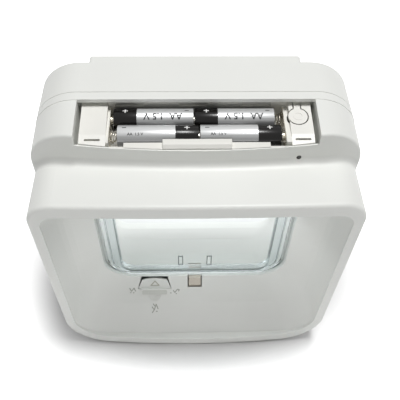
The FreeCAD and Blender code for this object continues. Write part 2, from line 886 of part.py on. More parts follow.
def motor_pinion():
    body = gear(pinion_teeth, math.pi / pinion_teeth, pinion_x, gear_height, large_gear_front - 1.0,
                large_gear_front + gear_face)
    return body.cut(rod(motor_shaft_radius, Vector(pinion_x, 0, gear_height), Y, FAR))


def gear_axle():
    start = rack_face_front - 1.5
    return rod(axle_radius, Vector(gear_x, start, gear_height), Y, bracket_front + bracket_thickness - start)


def mechanism_bracket():
    """Plate behind the gears that carries the axle and the motor."""
    left = rack_reach - bracket_side
    right = pinion_x + bracket_side
    plate = block(left, right, bracket_front, bracket_front + bracket_thickness,
                  gear_height - bracket_side, bracket_top)
    rib = block(left, right, bracket_front, bracket_front + bracket_thickness + bracket_rib,
                gear_height - bracket_side, gear_height - bracket_side + bracket_rib_thickness)
    plate = fuse(plate, rib)
    plate = plate.cut(rod(motor_boss_radius + fit_gap, Vector(pinion_x, 0, gear_height), Y, FAR))
    plate = plate.cut(rod(axle_radius, Vector(gear_x, 0, gear_height), Y, FAR))
    for x, z in bracket_screw_positions():
        plate = plate.cut(rod(small_screw_radius + small_screw_play, Vector(x, 0, z), Y, FAR))
    return plate


def latch_motor():
    """Small can motor with flats, front boss and shaft."""
    y0 = bracket_front + bracket_thickness
    can = rod(motor_radius, Vector(pinion_x, y0, gear_height), Y, motor_length)
    flats = block(pinion_x - motor_radius, pinion_x + motor_radius, y0, y0 + motor_length,
                  gear_height - motor_radius * motor_flat, gear_height + motor_radius * motor_flat)
    can = can.common(flats)
    boss = rod(motor_boss_radius, Vector(pinion_x, y0 - motor_boss_length, gear_height), Y, motor_boss_length)
    tip = large_gear_front - shaft_reach
    shaft = rod(motor_shaft_radius, Vector(pinion_x, tip, gear_height), Y, y0 - tip)
    end = rod(motor_boss_radius, Vector(pinion_x, y0 + motor_length, gear_height), Y, motor_end_length)
    return fuse(can, boss, shaft, end)


def bracket_screw_positions():
    z = bracket_top - bracket_screw_inset
    return [(rack_reach - bracket_side + 1.5 * bracket_screw_inset, z),
            (pinion_x + bracket_side - bracket_screw_inset, z)]


# Manual lock key

def lock_key():
    """Rocking key: tapered plate with a crowned top edge, a grip bar at its foot and a stem inside."""
    plate = key_plate(0.0, 0.0, key_proud - key_thickness, key_proud, key_crown)
    half = key_grip_width / 2
    back = key_proud - key_thickness
    near = key_foot + bite
    edge = key_foot - key_gap / 5
    grip_end = key_foot - key_grip_length
    bar = profile_x([on_panel(near, back), on_panel(near, key_proud + key_grip_rise),
                     on_panel(grip_end, key_proud + key_grip_rise),
                     on_panel(grip_end, key_proud + key_grip_lift),
                     on_panel(edge, key_proud + key_grip_lift), on_panel(edge, back)],
                    key_centre - half, key_centre + half)
    far = near + key_stem_thickness
    stem = profile_x([on_panel(near, back + bite), on_panel(far, back + bite),
                      on_panel(far, back - key_stem_length), on_panel(near, back - key_stem_length)],
                     key_centre - half + key_stem_inset, key_centre + half - key_stem_inset)
    key = fuse(plate, bar, stem)
    return key.cut(rod(key_pin_radius + running_gap, key_pin_start(), X, FAR))


def key_pin_start():
    y, z = on_panel(key_foot + bite + key_stem_thickness / 2, key_proud - key_thickness - key_pin_drop)
    return Vector(key_centre - key_foot_width / 2 - wall, y, z)


def key_pin():
    return rod(key_pin_radius, key_pin_start(), X, key_foot_width + 2 * wall)


# Battery tray and cells

def pad_plane(y):
    return pad_back_height - (pad_back - y) * math.tan(pad_slope)


def behind_lip(solid):
    """What of a solid fits behind the thin lip of the housing's front wall."""
    return solid.common(box_solid(shell_joint, bay_lip + nose_gap))


def pad(x0, x1):
    """Hollow side pad of the tray, its top falling towards the room and its nose reaching the lip."""
    points = [(pad_front, pad_base), (pad_front, pad_front_height),
              (pad_back, pad_back_height), (pad_back, pad_base)]
    solid = profile_x(points, x0, x1)
    seat = bay_seat_height + nose_gap
    nose = [(pad_front + tray_wall / 2, seat), (0, seat), (0, nose_height), (tab_edge, nose_height),
            (pad_front, pad_front_height), (pad_front + tray_wall / 2, pad_front_height)]
    solid = fuse(solid, behind_lip(profile_x(nose, x0, x1)))
    t = tray_wall
    inner = [(pad_front + t, pad_base - 1), (pad_front + t, pad_front_height - t - 0.2),
             (pad_back - t, pad_back_height - t - 0.2), (pad_back - t, pad_base - 1)]
    solid = solid.cut(profile_x(inner, x0 + t, x1 - t))
    mid = (x0 + x1) / 2
    slot = block(mid - clip_slot_width / 2, mid + clip_slot_width / 2, clip_slot_front,
                 clip_slot_front + clip_slot_height, seat + nose_gap, pad_front_height)
    return solid.cut(slot)


def cell_rows():
    """Axis depth, sideways shift and the side of the button end of each row."""
    return [("rear", rear_row_depth, -row_shift, -1), ("front", front_row_depth, row_shift, 1)]


def keyhole(grow, z0, z1):
    """Round button with its neck, seen from above; the slit goes on to the tray's wall."""
    root = pad_back - tray_wall
    if grow == 0:
        root -= button_root_gap
    disc = rod(button_radius + grow, Vector(button_x, button_depth, z0), Z, z1 - z0)
    half = button_neck / 2 + grow
    neck = block(button_x - half, button_x + half, button_depth, root, z0, z1)
    return fuse(disc, neck)


def battery_tray():
    """Tray with two pads, a scalloped trough for two rows of cells and a low front wall."""
    base = row_height - cell_radius - trough_floor
    left, right = left_pad_inner - tray_wall, right_pad_inner + tray_wall
    cradle = cell_radius + cell_gap
    trough = block(left, right, trough_front, pad_back, base, row_height + trough_rise)
    t = tray_wall
    hollow = block(left_pad_inner, trough_right, trough_front + t, pad_back - t,
                   row_height - trough_hollow, row_height + trough_rise + over)
    low_front = block(left - over, right + over, trough_front - over, front_row_depth,
                      trough_front_height, row_height + trough_rise + over)
    trough = trough.cut(hollow).cut(low_front)
    for depth in (rear_row_depth, front_row_depth):
        trough = trough.cut(rod(cradle, Vector(left_pad_inner, depth, row_height), X,
                                trough_right - left_pad_inner))
    parts = [pad(tray_left, left), pad(right, tray_right)]
    parts.append(block(left, left_pad_inner, trough_front, pad_back, base, pad_front_height - end_wall_drop))
    parts.append(block(trough_right, right, trough_front, pad_back, base, pad_front_height - end_wall_drop))
    parts.append(block(left, right, pad_back - t, pad_back, base, pad_back_height - back_wall_drop))
    bar = block(-ledge_half_width, ledge_half_width, 0, ledge_back, bay_seat_height + nose_gap, ledge_height)
    parts.append(behind_lip(bar))
    parts.append(block(-ledge_half_width, ledge_half_width, trough_front, ledge_back, base, ledge_height))
    tab = profile_x([(tab_front, bay_lip_height + nose_gap), (tab_edge, tab_height), (tab_back, tab_height),
                     (tab_back, bay_lip_height + nose_gap)], -tab_half_width, tab_half_width)
    parts.append(soften(tab, tab_radius, lambda e, m: m.z > tab_height - 0.01 or m.y < tab_edge))
    for side in (-1, 1):
        x0, x1 = sorted((side * (bay_half_width - bay_ledge), side * (tray_right - bite)))
        parts.append(block(x0, x1, pad_front, pad_back, bay_ledge_height, pad_base + bite))
    tray = fuse(trough, *parts)
    for x in hook_pocket_places:
        tray = tray.cut(block(x - hook_pocket_width / 2, x + hook_pocket_width / 2, pad_back - t - over,
                              pad_back - t / 2, pad_back_height - back_wall_drop - hook_pocket_height,
                              pad_back_height))
    pockets = [contact_plate(left_pad_inner, 1, depth, depth) for depth in (rear_row_depth, front_row_depth)]
    pockets.append(contact_plate(trough_right, -1, front_row_depth, rear_row_depth))
    return tray.cut([keyhole(button_slit, pad_base, pad_back_height + over)] + pockets)


def settings_button():
    """Keyhole tongue in the right pad, with a plunger over the board's switch."""
    slab_points = [(y, pad_plane(y)) for y in (pad_front, pad_back)]
    slab_points += [(y, pad_plane(y) - button_thickness) for y in (pad_back, pad_front)]
    slab = profile_x(slab_points, right_pad_inner, tray_right)
    tongue = keyhole(0.0, pad_base, pad_back_height + over).common(slab)
    top = pad_plane(button_depth) - button_thickness
    foot = board_height + board_thickness + switch_height + button_travel_room
    plunger = rod(button_plunger, Vector(button_x, button_depth, foot), Z, top - foot + button_thickness / 2)
    return fuse(tongue, plunger)


def cell(depth, start, button_side):
    """Round cell with its button end towards button_side."""
    body = rod(cell_radius, Vector(start, depth, row_height), X, cell_length - cell_nub)
    body = soften(body, cell_softness, lambda e, m: True)
    nub = rod(cell_nub_radius, Vector(start + cell_length - cell_nub, depth, row_height), X, cell_nub)
    made = fuse(body, nub)
    if button_side < 0:
        made.rotate(Vector(start + cell_length / 2, depth, row_height), Z, 180)
    return made


def contact_plate(x, side, first_depth, last_depth):
    """Flat plate against an end wall of the trough; side is the way it faces."""
    x0, x1 = sorted((x, x + side * contact_thickness))
    return block(x0, x1, first_depth - contact_half, last_depth + contact_half, row_height - contact_half,
                 row_height + contact_half)


def dimple(x, side, depth, cell_end):
    """Raised round of a plate that meets the button of a cell."""
    length = abs(cell_end - x) - contact_gap
    return rod(cell_nub_radius, Vector(x, depth, row_height), Vector(side, 0, 0), length)


def spring(x, side, depth, cell_end):
    """Conical spring from a plate to the flat end of a cell, wide at the plate."""
    length = abs(cell_end - x) - contact_gap - contact_thickness
    climb = length - 2 * spring_wire
    steps = spring_turns * spring_points
    points = []
    for k in range(steps + 1):
        turn = 2 * math.pi * k / spring_points
        radius = spring_large + (spring_small - spring_large) * k / steps
        points.append(Vector(radius * math.cos(turn), radius * math.sin(turn), climb * k / steps))
    path = Part.BSplineCurve()
    path.interpolate(points)
    section = Part.Wire([Part.makeCircle(spring_wire, points[0], path.tangent(path.FirstParameter)[0])])
    coil = Part.Wire([path.toShape()]).makePipeShell([section], True, True)
    coil.rotate(Vector(0, 0, 0), Y, 90 * side)
    coil.translate(Vector(x + side * (contact_thickness + spring_wire * 0.9), depth, row_height))
    return coil


def row_ends(shift):
    return shift - cell_length, shift + cell_length


def positive_contact():
    start = row_ends(-row_shift)[0]
    base = contact_plate(left_pad_inner, 1, rear_row_depth, rear_row_depth)
    return fuse(base, dimple(left_pad_inner, 1, rear_row_depth, start))


def negative_contact():
    start = row_ends(row_shift)[0]
    base = contact_plate(left_pad_inner, 1, front_row_depth, front_row_depth)
    return fuse(base, spring(left_pad_inner, 1, front_row_depth, start))


def bridge_contact():
    """Plate at the right that joins the rear row to the front row."""
    base = contact_plate(trough_right, -1, front_row_depth, rear_row_depth)
    coil = spring(trough_right, -1, rear_row_depth, row_ends(-row_shift)[1])
    button = dimple(trough_right, -1, front_row_depth, row_ends(row_shift)[1])
    return fuse(base, coil, button)


# Electronics

def board_screw_positions():
    return [(x, y) for x in (board_left + board_screw_inset_x, board_screw_right)
            for y in (board_front + board_screw_inset_y, board_back - board_screw_inset_y)]


def control_board():
    """Circuit board under the tray, with its larger components."""
    top = board_height + board_thickness
    board = block(board_left, board_right, board_front, board_back, board_height, top)
    for x, y in board_screw_positions():
        board = board.cut(rod(small_screw_radius + small_screw_play, Vector(x, y, board_height - over),
                              Z, board_thickness + 2 * over))
    chip = block(chip_x, chip_x + chip_size, board_back - chip_size, board_back, top, top + chip_height)
    capacitor = rod(capacitor_radius, Vector(capacitor_x, capacitor_depth, top), Z, capacitor_height)
    plug = block(plug_x, plug_x + plug_length, plug_front, plug_front + plug_width, top, top + plug_height)
    return fuse(board, chip, capacitor, plug)


def status_led():
    top = board_height + board_thickness
    half = led_size / 2
    return block(light_x - half, light_x + half, light_back - half, light_back + half, top, top + led_height)


def light_pipe():
    """Clear pipe from the lamp on the board to the small hole in the front face."""
    face_y = box_front + box_front_radius - math.sqrt(box_front_radius ** 2 - light_x ** 2)
    foot = board_height + board_thickness + led_height + led_gap
    route = [(light_x, face_y - led_gap, light_height), (light_x, light_back, light_height),
             (light_x, light_back, foot)]
    return bent_rod(route, light_radius)


def button_switch():
    top = board_height + board_thickness
    half = switch_size / 2
    body = block(button_x - half, button_x + half, button_depth - half, button_depth + half,
                 top, top + switch_height - switch_cap)
    cap = rod(switch_cap_radius, Vector(button_x, button_depth, top + switch_cap), Z,
              switch_height - switch_cap)
    return fuse(body, cap)


def coil_ring(y, length, inner, outer):
    """Rectangular ring with round corners round the sleeve."""
    def ring(offset):
        return run(outline(y, coil_side + offset, coil_bottom - offset, coil_top + offset,
                           coil_radius + offset, coil_radius + offset), length)
    return ring(outer).cut(ring(inner))


def coil_former():
    """Frame with two flanges against the rear wall, which carries the coil winding."""
    back = body_depth - wall
    front = back - coil_width - 2 * coil_flange
    core = coil_ring(front, back - front, 0.0, coil_core)
    flange = coil_ring(front, coil_flange, 0.0, coil_core + coil_thickness)
    seat = coil_ring(back - coil_flange, coil_flange, 0.0, coil_core + coil_thickness)
    return fuse(core, flange, seat)


def reader_coil():
    back = body_depth - wall - coil_flange
    return coil_ring(back - coil_width, coil_width, coil_core, coil_core + coil_thickness - coil_fill_gap)


# Screws

def screw(start, direction, radius, length, head_radius, head_height):
    """Pan head screw: start is the seat of its head, direction is the way its tip points."""
    shank = rod(radius, start, direction, length)
    head = rod(head_radius, start - direction * head_height, direction, head_height)
    head = soften(head, head_height * 0.45,
                  lambda e, m: (m - start).dot(direction) < -head_height * 0.9 and e.Length > head_radius)
    slot_width = head_radius * screw_slot_width
    slot_length = head_radius * screw_slot_length
    slot = Part.makeBox(slot_width, slot_length, head_height / 2)
    slot.translate(Vector(-slot_width / 2, -slot_length / 2, 0))
    turn = FreeCAD.Rotation(Z, direction)
    slot.Placement = FreeCAD.Placement(start - direction * head_height, turn).multiply(slot.Placement)
    return fuse(shank, head).cut(slot)


def housing_screws():
    return [screw(Vector(x, screw_seat, z), Vector(0, -1, 0), screw_radius, screw_length,
                  screw_head_radius, screw_head_height) for x, z in boss_positions()]


def board_screws():
    top = board_height + board_thickness
    return [screw(Vector(x, y, top), Vector(0, 0, -1), small_screw_radius, small_screw_length - screw_tip_gap,
                  small_head_radius, small_head_height) for x, y in board_screw_positions()]


def bracket_screws():
    return [screw(Vector(x, bracket_front, z), Y, small_screw_radius, small_screw_length - screw_tip_gap,
                  small_head_radius, small_head_height) for x, z in bracket_screw_positions()]


def bent_rod(points, rod_radius):
    """Round rod or lead through the points, with arcs as large as its runs allow."""
    pts = [Vector(*p) for p in points]
    edges = []
    start = pts[0]
    for i in range(1, len(pts) - 1):
        a, b = pts[i - 1] - pts[i], pts[i + 1] - pts[i]
        short = min(a.Length, b.Length)
        turn = math.pi - a.getAngle(b)
        cut = 0.45 * short
        u, v = a.normalize(), b.normalize()
        p, q = pts[i] + u * cut, pts[i] + v * cut
        radius = cut / math.tan(turn / 2)
        bisector = (u + v).normalize()
        centre = pts[i] + bisector * math.hypot(radius, cut)
        edges.append(Part.LineSegment(start, p).toShape())
        edges.append(Part.Arc(p, centre - bisector * radius, q).toShape())
        start = q
    edges.append(Part.LineSegment(start, pts[-1]).toShape())
    path = Part.Wire(edges)
    section = Part.Wire([Part.makeCircle(rod_radius, pts[0], (pts[1] - pts[0]).normalize())])
    return path.makePipeShell([section], True, False)


def lead(points, *ends):
    """Round lead, trimmed where it meets the pieces at its ends."""
    whole = bent_rod(points, lead_radius)
    for piece in ends:
        whole = whole.cut(piece)
    return max(whole.Solids, key=lambda s: s.Volume)


motor_lead_route = [(pinion_x + motor_radius, 70, gear_height), (66, 70, 17), (80, 68, 32), (80, 64, 75),
                    (80, 62, 120), (80.5, 56, board_height - 16), (71, 52, board_height)]
coil_lead_route = [(-81, body_depth - wall - coil_width - 2 * coil_flange, board_height - 44),
                   (-81, 70, board_height - 37), (-80, 60, board_height - 17),
                   (-74, 54, board_height - 3.5), (board_left, 50, board_height + board_thickness / 2)]


def write(name, solids):
    """Move the solids so that the origin is the centre of the fixing screws, and write them."""
    solids = solids if isinstance(solids, list) else [solids]
    move = Vector(0, -body_depth, -fixing_height)
    placed = []
    for s in solids:
        s = s.copy()
        s.translate(move)
        placed.extend(s.Solids)
    shape = placed[0] if len(placed) == 1 else Part.makeCompound(placed)
    shape.exportStep("parts/%s.step" % name)
    print("%-22s solids %d  valid %s  volume %.1f" % (name, len(placed), shape.isValid(), shape.Volume))


os.makedirs("parts", exist_ok=True)
write("front_housing", front_housing())
write("rear_housing", rear_housing())
write("flap_panel", flap_panel())
write("flap_spindle", flap_spindle())
write("spindle_bush_left", spindle_bush(-1))
write("spindle_bush_right", spindle_bush(1))
write("brush_seal", seal_solid())
write("latch_carriage", latch_carriage())
write("latch_catch", latch_catch())
write("outer_catch", outer_catch())
write("latch_gear", latch_gear())
write("motor_pinion", motor_pinion())
write("gear_axle", gear_axle())
write("mechanism_bracket", mechanism_bracket())
write("latch_motor", latch_motor())
write("lock_key", lock_key())
write("key_pin", key_pin())
write("battery_tray", battery_tray())
write("settings_button", settings_button())
for row, depth, shift, side in cell_rows():
    write("cell_%s_left" % row, cell(depth, shift - cell_length, side))
    write("cell_%s_right" % row, cell(depth, shift, side))
write("positive_contact", positive_contact())
write("negative_contact", negative_contact())
write("bridge_contact", bridge_contact())
write("control_board", control_board())
write("status_led", status_led())
write("light_pipe", light_pipe())
write("button_switch", button_switch())
write("coil_former", coil_former())
write("reader_coil", reader_coil())
write("housing_screws", housing_screws())
write("board_screws", board_screws())
write("bracket_screws", bracket_screws())
write("motor_lead", lead(motor_lead_route, latch_motor(), control_board()))
write("coil_lead", lead(coil_lead_route, coil_former(), control_board()))
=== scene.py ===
"""Looks of a cat flap's indoor unit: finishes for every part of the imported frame, the clear flap, the
cells in their printed jackets, the small signs of the lock key and the settings button, and a plain
white studio."""

import math

import bmesh
import bpy
from mathutils import Matrix, Vector


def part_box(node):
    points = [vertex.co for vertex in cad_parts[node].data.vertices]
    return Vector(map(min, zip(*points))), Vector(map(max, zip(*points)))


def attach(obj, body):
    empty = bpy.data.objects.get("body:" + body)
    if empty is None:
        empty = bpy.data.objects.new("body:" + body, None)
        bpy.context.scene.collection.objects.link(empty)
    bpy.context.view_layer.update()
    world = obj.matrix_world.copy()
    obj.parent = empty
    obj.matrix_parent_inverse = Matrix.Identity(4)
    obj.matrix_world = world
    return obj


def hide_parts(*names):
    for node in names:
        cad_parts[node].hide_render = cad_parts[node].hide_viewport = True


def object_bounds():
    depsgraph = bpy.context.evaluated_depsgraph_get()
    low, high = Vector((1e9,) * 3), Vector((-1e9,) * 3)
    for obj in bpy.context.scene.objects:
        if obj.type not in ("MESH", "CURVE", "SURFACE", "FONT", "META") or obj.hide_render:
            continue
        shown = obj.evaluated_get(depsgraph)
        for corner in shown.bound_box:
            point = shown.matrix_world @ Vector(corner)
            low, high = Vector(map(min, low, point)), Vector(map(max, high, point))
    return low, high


bl_info = {
    "name": "Cat flap",
    "version": (1, 0, 0),
    "blender": (4, 5, 0),
    "location": "View3D > Sidebar > Cat flap",
    "description": "Finishes, cells, signs and studio of a cat flap's indoor unit",
    "category": "Object",
}

MM = 0.001
# Least cosine between a face's normal and an axis that it looks along
SQUARE_ON = 0.99

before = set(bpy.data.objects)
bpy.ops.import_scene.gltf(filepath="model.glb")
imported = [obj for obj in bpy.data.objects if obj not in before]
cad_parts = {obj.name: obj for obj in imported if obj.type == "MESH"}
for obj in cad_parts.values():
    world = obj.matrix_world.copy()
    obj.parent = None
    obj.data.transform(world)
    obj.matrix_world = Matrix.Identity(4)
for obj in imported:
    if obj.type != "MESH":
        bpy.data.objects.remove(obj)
cad_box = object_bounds()


def linear(code):
    """Linear colour of an sRGB hex value."""
    parts = [int(code[i:i + 2], 16) / 255 for i in (0, 2, 4)]
    return tuple(c / 12.92 if c <= 0.04045 else ((c + 0.055) / 1.055) ** 2.4 for c in parts)


def colour_setting(name, description, code):
    return bpy.props.FloatVectorProperty(name=name, description=description, default=linear(code),
                                         subtype="COLOR", size=3, min=0.0, max=1.0)


def length_setting(name, description, millimetres):
    return bpy.props.FloatProperty(name=name, description=description, default=millimetres * MM,
                                   unit="LENGTH", min=0.0, precision=5)


def power_setting(name, description, watts):
    return bpy.props.FloatProperty(name=name, description=description, default=watts, unit="POWER",
                                   min=0.0)


class HousingSettings(bpy.types.PropertyGroup):
    """Plastics of the housing, the tray, the latch and the flap."""
    shell: colour_setting("Housing", "Colour of the moulded housing", "EAEBE7")
    tray: colour_setting("Tray", "Colour of the battery tray and the settings button", "EBEAE4")
    catch: colour_setting("Catch", "Colour of the latch catches", "CDC5B8")
    sign: colour_setting("Signs", "Colour of the small signs on the sill", "B1B2AA")
    clear: colour_setting("Flap", "Tint of the clear flap", "FDFEFE")
    grain: length_setting("Grain", "Size of the moulded texture on the housing", 0.9)


class CellSettings(bpy.types.PropertyGroup):
    """Jackets of the cells."""
    band: colour_setting("Band", "Colour of the jacket at the button end", "0F0D0C")
    silver: colour_setting("Silver", "Colour of the rest of the jacket", "D0D1D1")
    band_length: length_setting("Band length", "Length of the dark band at the button end", 14.2)
    sign_height: length_setting("Sign height", "Height of the plus and minus signs", 4.2)


class StageSettings(bpy.types.PropertyGroup):
    """Studio round the part."""
    key_power: power_setting("Key lamp", "Power of the large lamp overhead", 73.0)
    front_power: power_setting("Front lamp", "Power of the soft lamp in front", 4.0)
    passage_power: power_setting("Passage lamp", "Power of the small lamp behind the passage", 0.1)
    sill_power: power_setting("Sill lamp", "Power of the small lamp over the sill", 0.03)
    fill: bpy.props.FloatProperty(name="Fill", description="Strength of the light from all round",
                                  default=0.1, min=0.0, max=2.0)
    lens: bpy.props.FloatProperty(name="Lens", description="Focal length of the camera",
                                  default=50.4, unit="CAMERA", min=10.0)
    floor: colour_setting("Floor", "Colour of the floor where it lights the part", "F3F3F3")
    seen_floor: bpy.props.FloatProperty(name="Seen floor", description="Tone of the floor as it is seen",
                                        default=0.76, min=0.0, max=1.0)


def add(tree, kind, sockets=None, **settings):
    """A shader node with its settings; each socket takes a value, or a link from another node."""
    made = tree.nodes.new(kind)
    for key, value in settings.items():
        setattr(made, key, value)
    for key, value in (sockets or {}).items():
        if isinstance(value, bpy.types.NodeSocket):
            tree.links.new(value, made.inputs[key])
        else:
            made.inputs[key].default_value = value
    return made


def empty_material(name):
    material = bpy.data.materials.new(name)
    material.use_nodes = True
    material.node_tree.nodes.clear()
    return material, material.node_tree


def opaque(colour):
    return (*colour[:3], 1.0)


def shade(colour, factor):
    """The colour made lighter or darker."""
    return tuple(min(1.0, c * factor) for c in colour[:3]) + (1.0,)


def blend(tree, factor, first, second, **settings):
    """Colour between two, by a factor."""
    mixed = add(tree, "ShaderNodeMix", {0: factor, 6: first, 7: second}, data_type="RGBA", **settings)
    return mixed.outputs[2]


def seen_rays(tree):
    """One for rays that look at the surface, straight, mirrored or through the flap; else nought."""
    path = add(tree, "ShaderNodeLightPath")
    seen = add(tree, "ShaderNodeMath", {0: path.outputs["Is Camera Ray"],
                                        1: path.outputs["Is Glossy Ray"]}, operation="MAXIMUM")
    seen = add(tree, "ShaderNodeMath", {0: seen.outputs["Value"],
                                        1: path.outputs["Is Transmission Ray"]}, operation="MAXIMUM")
    return seen.outputs["Value"]


def moulded_plastic(name, colour, roughness, grain, depth, ior=1.53):
    """Injection moulded plastic: a fine even grain from the tool, and a slow drift of tone and of
    gloss over centimetres, as the melt cooled. The grain is drawn about twice as coarse as the real
    0.4 mm, so that it shows."""
    drift, gloss_drift = 0.03, 0.05
    material, tree = empty_material(name)
    place = add(tree, "ShaderNodeTexCoord").outputs["Object"]
    slow = add(tree, "ShaderNodeTexNoise", {"Vector": place, "Scale": 1 / 0.05, "Detail": 3.0})
    tone = blend(tree, slow.outputs["Fac"], shade(colour, 1 - drift), shade(colour, 1 + drift))
    gloss = add(tree, "ShaderNodeMapRange", {"Value": slow.outputs["Fac"],
                                             "To Min": roughness - gloss_drift,
                                             "To Max": roughness + gloss_drift})
    fine = add(tree, "ShaderNodeTexNoise", {"Vector": place, "Scale": 1 / grain, "Detail": 4.0,
                                            "Roughness": 0.6})
    skin = add(tree, "ShaderNodeBump", {"Height": fine.outputs["Fac"], "Strength": 0.35,
                                        "Distance": depth})
    surface = add(tree, "ShaderNodeBsdfPrincipled", {
        "Base Color": tone, "Roughness": gloss.outputs["Result"], "IOR": ior,
        "Normal": skin.outputs["Normal"]})
    add(tree, "ShaderNodeOutputMaterial", {"Surface": surface.outputs["BSDF"]})
    return material


def clear_polycarbonate(name, colour):
    """Clear polycarbonate, injection moulded and polished: strong refraction at its thick frame, a
    faint waviness of the pane, and a cool tint that grows with the light's way through it."""
    material, tree = empty_material(name)
    place = add(tree, "ShaderNodeTexCoord").outputs["Object"]
    waves = add(tree, "ShaderNodeTexNoise", {"Vector": place, "Scale": 1 / 0.03, "Detail": 1.0})
    skin = add(tree, "ShaderNodeBump", {"Height": waves.outputs["Fac"], "Strength": 0.15,
                                        "Distance": 0.0004})
    clear = add(tree, "ShaderNodeBsdfPrincipled", {
        "Base Color": opaque(colour), "Roughness": 0.02, "IOR": 1.585, "Transmission Weight": 1.0,
        "Normal": skin.outputs["Normal"]})
    # Lamp light passes straight through, because caustics aren't followed
    through = add(tree, "ShaderNodeBsdfTransparent", {"Color": (0.9, 0.92, 0.92, 1.0)})
    path = add(tree, "ShaderNodeLightPath")
    surface = add(tree, "ShaderNodeMixShader", {0: path.outputs["Is Shadow Ray"], 1: clear.outputs["BSDF"],
                                                2: through.outputs["BSDF"]})
    inside = add(tree, "ShaderNodeVolumeAbsorption", {"Color": (0.68, 0.75, 0.77, 1.0), "Density": 110.0})
    add(tree, "ShaderNodeOutputMaterial", {"Surface": surface.outputs["Shader"],
                                           "Volume": inside.outputs["Volume"]})
    return material


def drawn_metal(name, colour, roughness, stretch, size=0.0004):
    """Metal with fine marks along one way, from drawing, turning or stamping."""
    material, tree = empty_material(name)
    place = add(tree, "ShaderNodeTexCoord").outputs["Object"]
    along = add(tree, "ShaderNodeMapping", {"Vector": place, "Scale": stretch})
    marks = add(tree, "ShaderNodeTexNoise", {"Vector": along.outputs["Vector"], "Scale": 1 / size,
                                             "Detail": 3.0})
    tone = blend(tree, marks.outputs["Fac"], shade(colour, 0.88), shade(colour, 1.08))
    gloss = add(tree, "ShaderNodeMapRange", {"Value": marks.outputs["Fac"], "To Min": roughness - 0.06,
                                             "To Max": roughness + 0.08})
    surface = add(tree, "ShaderNodeBsdfPrincipled", {
        "Base Color": tone, "Metallic": 1.0, "Roughness": gloss.outputs["Result"]})
    add(tree, "ShaderNodeOutputMaterial", {"Surface": surface.outputs["BSDF"]})
    return material


def printed_film(name, colour, metallic, roughness, lined_and_shaded=False):
    """Shrink film round a cell, printed on the inside: glossy, with a faint ripple along the cell. With
    the flag set, it has fine lines 0.8 mm apart printed along it, and painted shade: darker down its sides."""
    # Lengths in millimetres. Angles count from the cell's top: a length on its jacket by its radius
    line_gap, line_width, jacket_radius = 0.8, 0.25, 7
    painted_shade_from, painted_shade_to, first_line = 0.35, 1.0, 0.62
    material, tree = empty_material(name)
    place = add(tree, "ShaderNodeTexCoord").outputs["Object"]
    along = add(tree, "ShaderNodeMapping", {"Vector": place, "Scale": (0.12, 1.0, 1.0)})
    ripple = add(tree, "ShaderNodeTexNoise", {"Vector": along.outputs["Vector"], "Scale": 1 / 0.0018,
                                              "Detail": 2.0})
    tone = blend(tree, ripple.outputs["Fac"], shade(colour, 0.94), shade(colour, 1.05))
    if lined_and_shaded:
        place = add(tree, "ShaderNodeUVMap", uv_map="round").outputs["UV"]
        around = add(tree, "ShaderNodeSeparateXYZ", {"Vector": place}).outputs["Y"]
        # Painted shade: the silver is made darker down the cell's sides, away from its lit top
        side = add(tree, "ShaderNodeMapRange", {"Value": around, "From Min": painted_shade_from,
                                                "From Max": painted_shade_to, "To Min": 1.0, "To Max": 0.5})
        line = add(tree, "ShaderNodeMath", {0: around, 1: line_gap / jacket_radius},
                   operation="FLOORED_MODULO")
        line = add(tree, "ShaderNodeMath", {0: line.outputs["Value"], 1: line_width / jacket_radius},
                   operation="LESS_THAN")
        low = add(tree, "ShaderNodeMath", {0: around, 1: first_line}, operation="GREATER_THAN")
        line = add(tree, "ShaderNodeMath", {0: line.outputs["Value"], 1: low.outputs["Value"]},
                   operation="MULTIPLY")
        line = add(tree, "ShaderNodeMapRange", {"Value": line.outputs["Value"], "To Min": 1.0,
                                                "To Max": 0.6})
        # Painted shade down the sides, times the printed lines
        painted_shade_and_lines = add(tree, "ShaderNodeMath", {0: side.outputs["Result"], 1: line.outputs["Result"]},
                  operation="MULTIPLY")
        tone = blend(tree, 1.0, tone, painted_shade_and_lines.outputs["Value"], blend_type="MULTIPLY")
    skin = add(tree, "ShaderNodeBump", {"Height": ripple.outputs["Fac"], "Strength": 0.2,
                                        "Distance": 0.00008})
    surface = add(tree, "ShaderNodeBsdfPrincipled", {
        "Base Color": tone, "Metallic": metallic, "Roughness": roughness, "IOR": 1.5,
        "Specular IOR Level": 0.25, "Normal": skin.outputs["Normal"]})
    add(tree, "ShaderNodeOutputMaterial", {"Surface": surface.outputs["BSDF"]})
    return material


def circuit_board(name, board_top):
    """Glass epoxy board under green solder mask, with pale tracks; what stands on it is black epoxy."""
    # What rises over the board's top by more than this is a component
    skim = 0.02 * MM
    material, tree = empty_material(name)
    place = add(tree, "ShaderNodeTexCoord").outputs["Object"]
    tracks = add(tree, "ShaderNodeTexBrick", {"Vector": place, "Color1": opaque(linear("1E6B35")),
                                              "Color2": opaque(linear("195C2D")),
                                              "Mortar": opaque(linear("3B8A50")), "Scale": 1 / 0.012,
                                              "Mortar Size": 0.03, "Brick Width": 0.7, "Row Height": 0.22})
    height = add(tree, "ShaderNodeSeparateXYZ", {"Vector": place}).outputs["Z"]
    above = add(tree, "ShaderNodeMath", {0: height, 1: board_top + skim}, operation="GREATER_THAN")
    tone = blend(tree, above.outputs["Value"], tracks.outputs["Color"], opaque(linear("1B1B1C")))
    surface = add(tree, "ShaderNodeBsdfPrincipled", {"Base Color": tone, "Roughness": 0.35, "IOR": 1.55})
    add(tree, "ShaderNodeOutputMaterial", {"Surface": surface.outputs["BSDF"]})
    return material


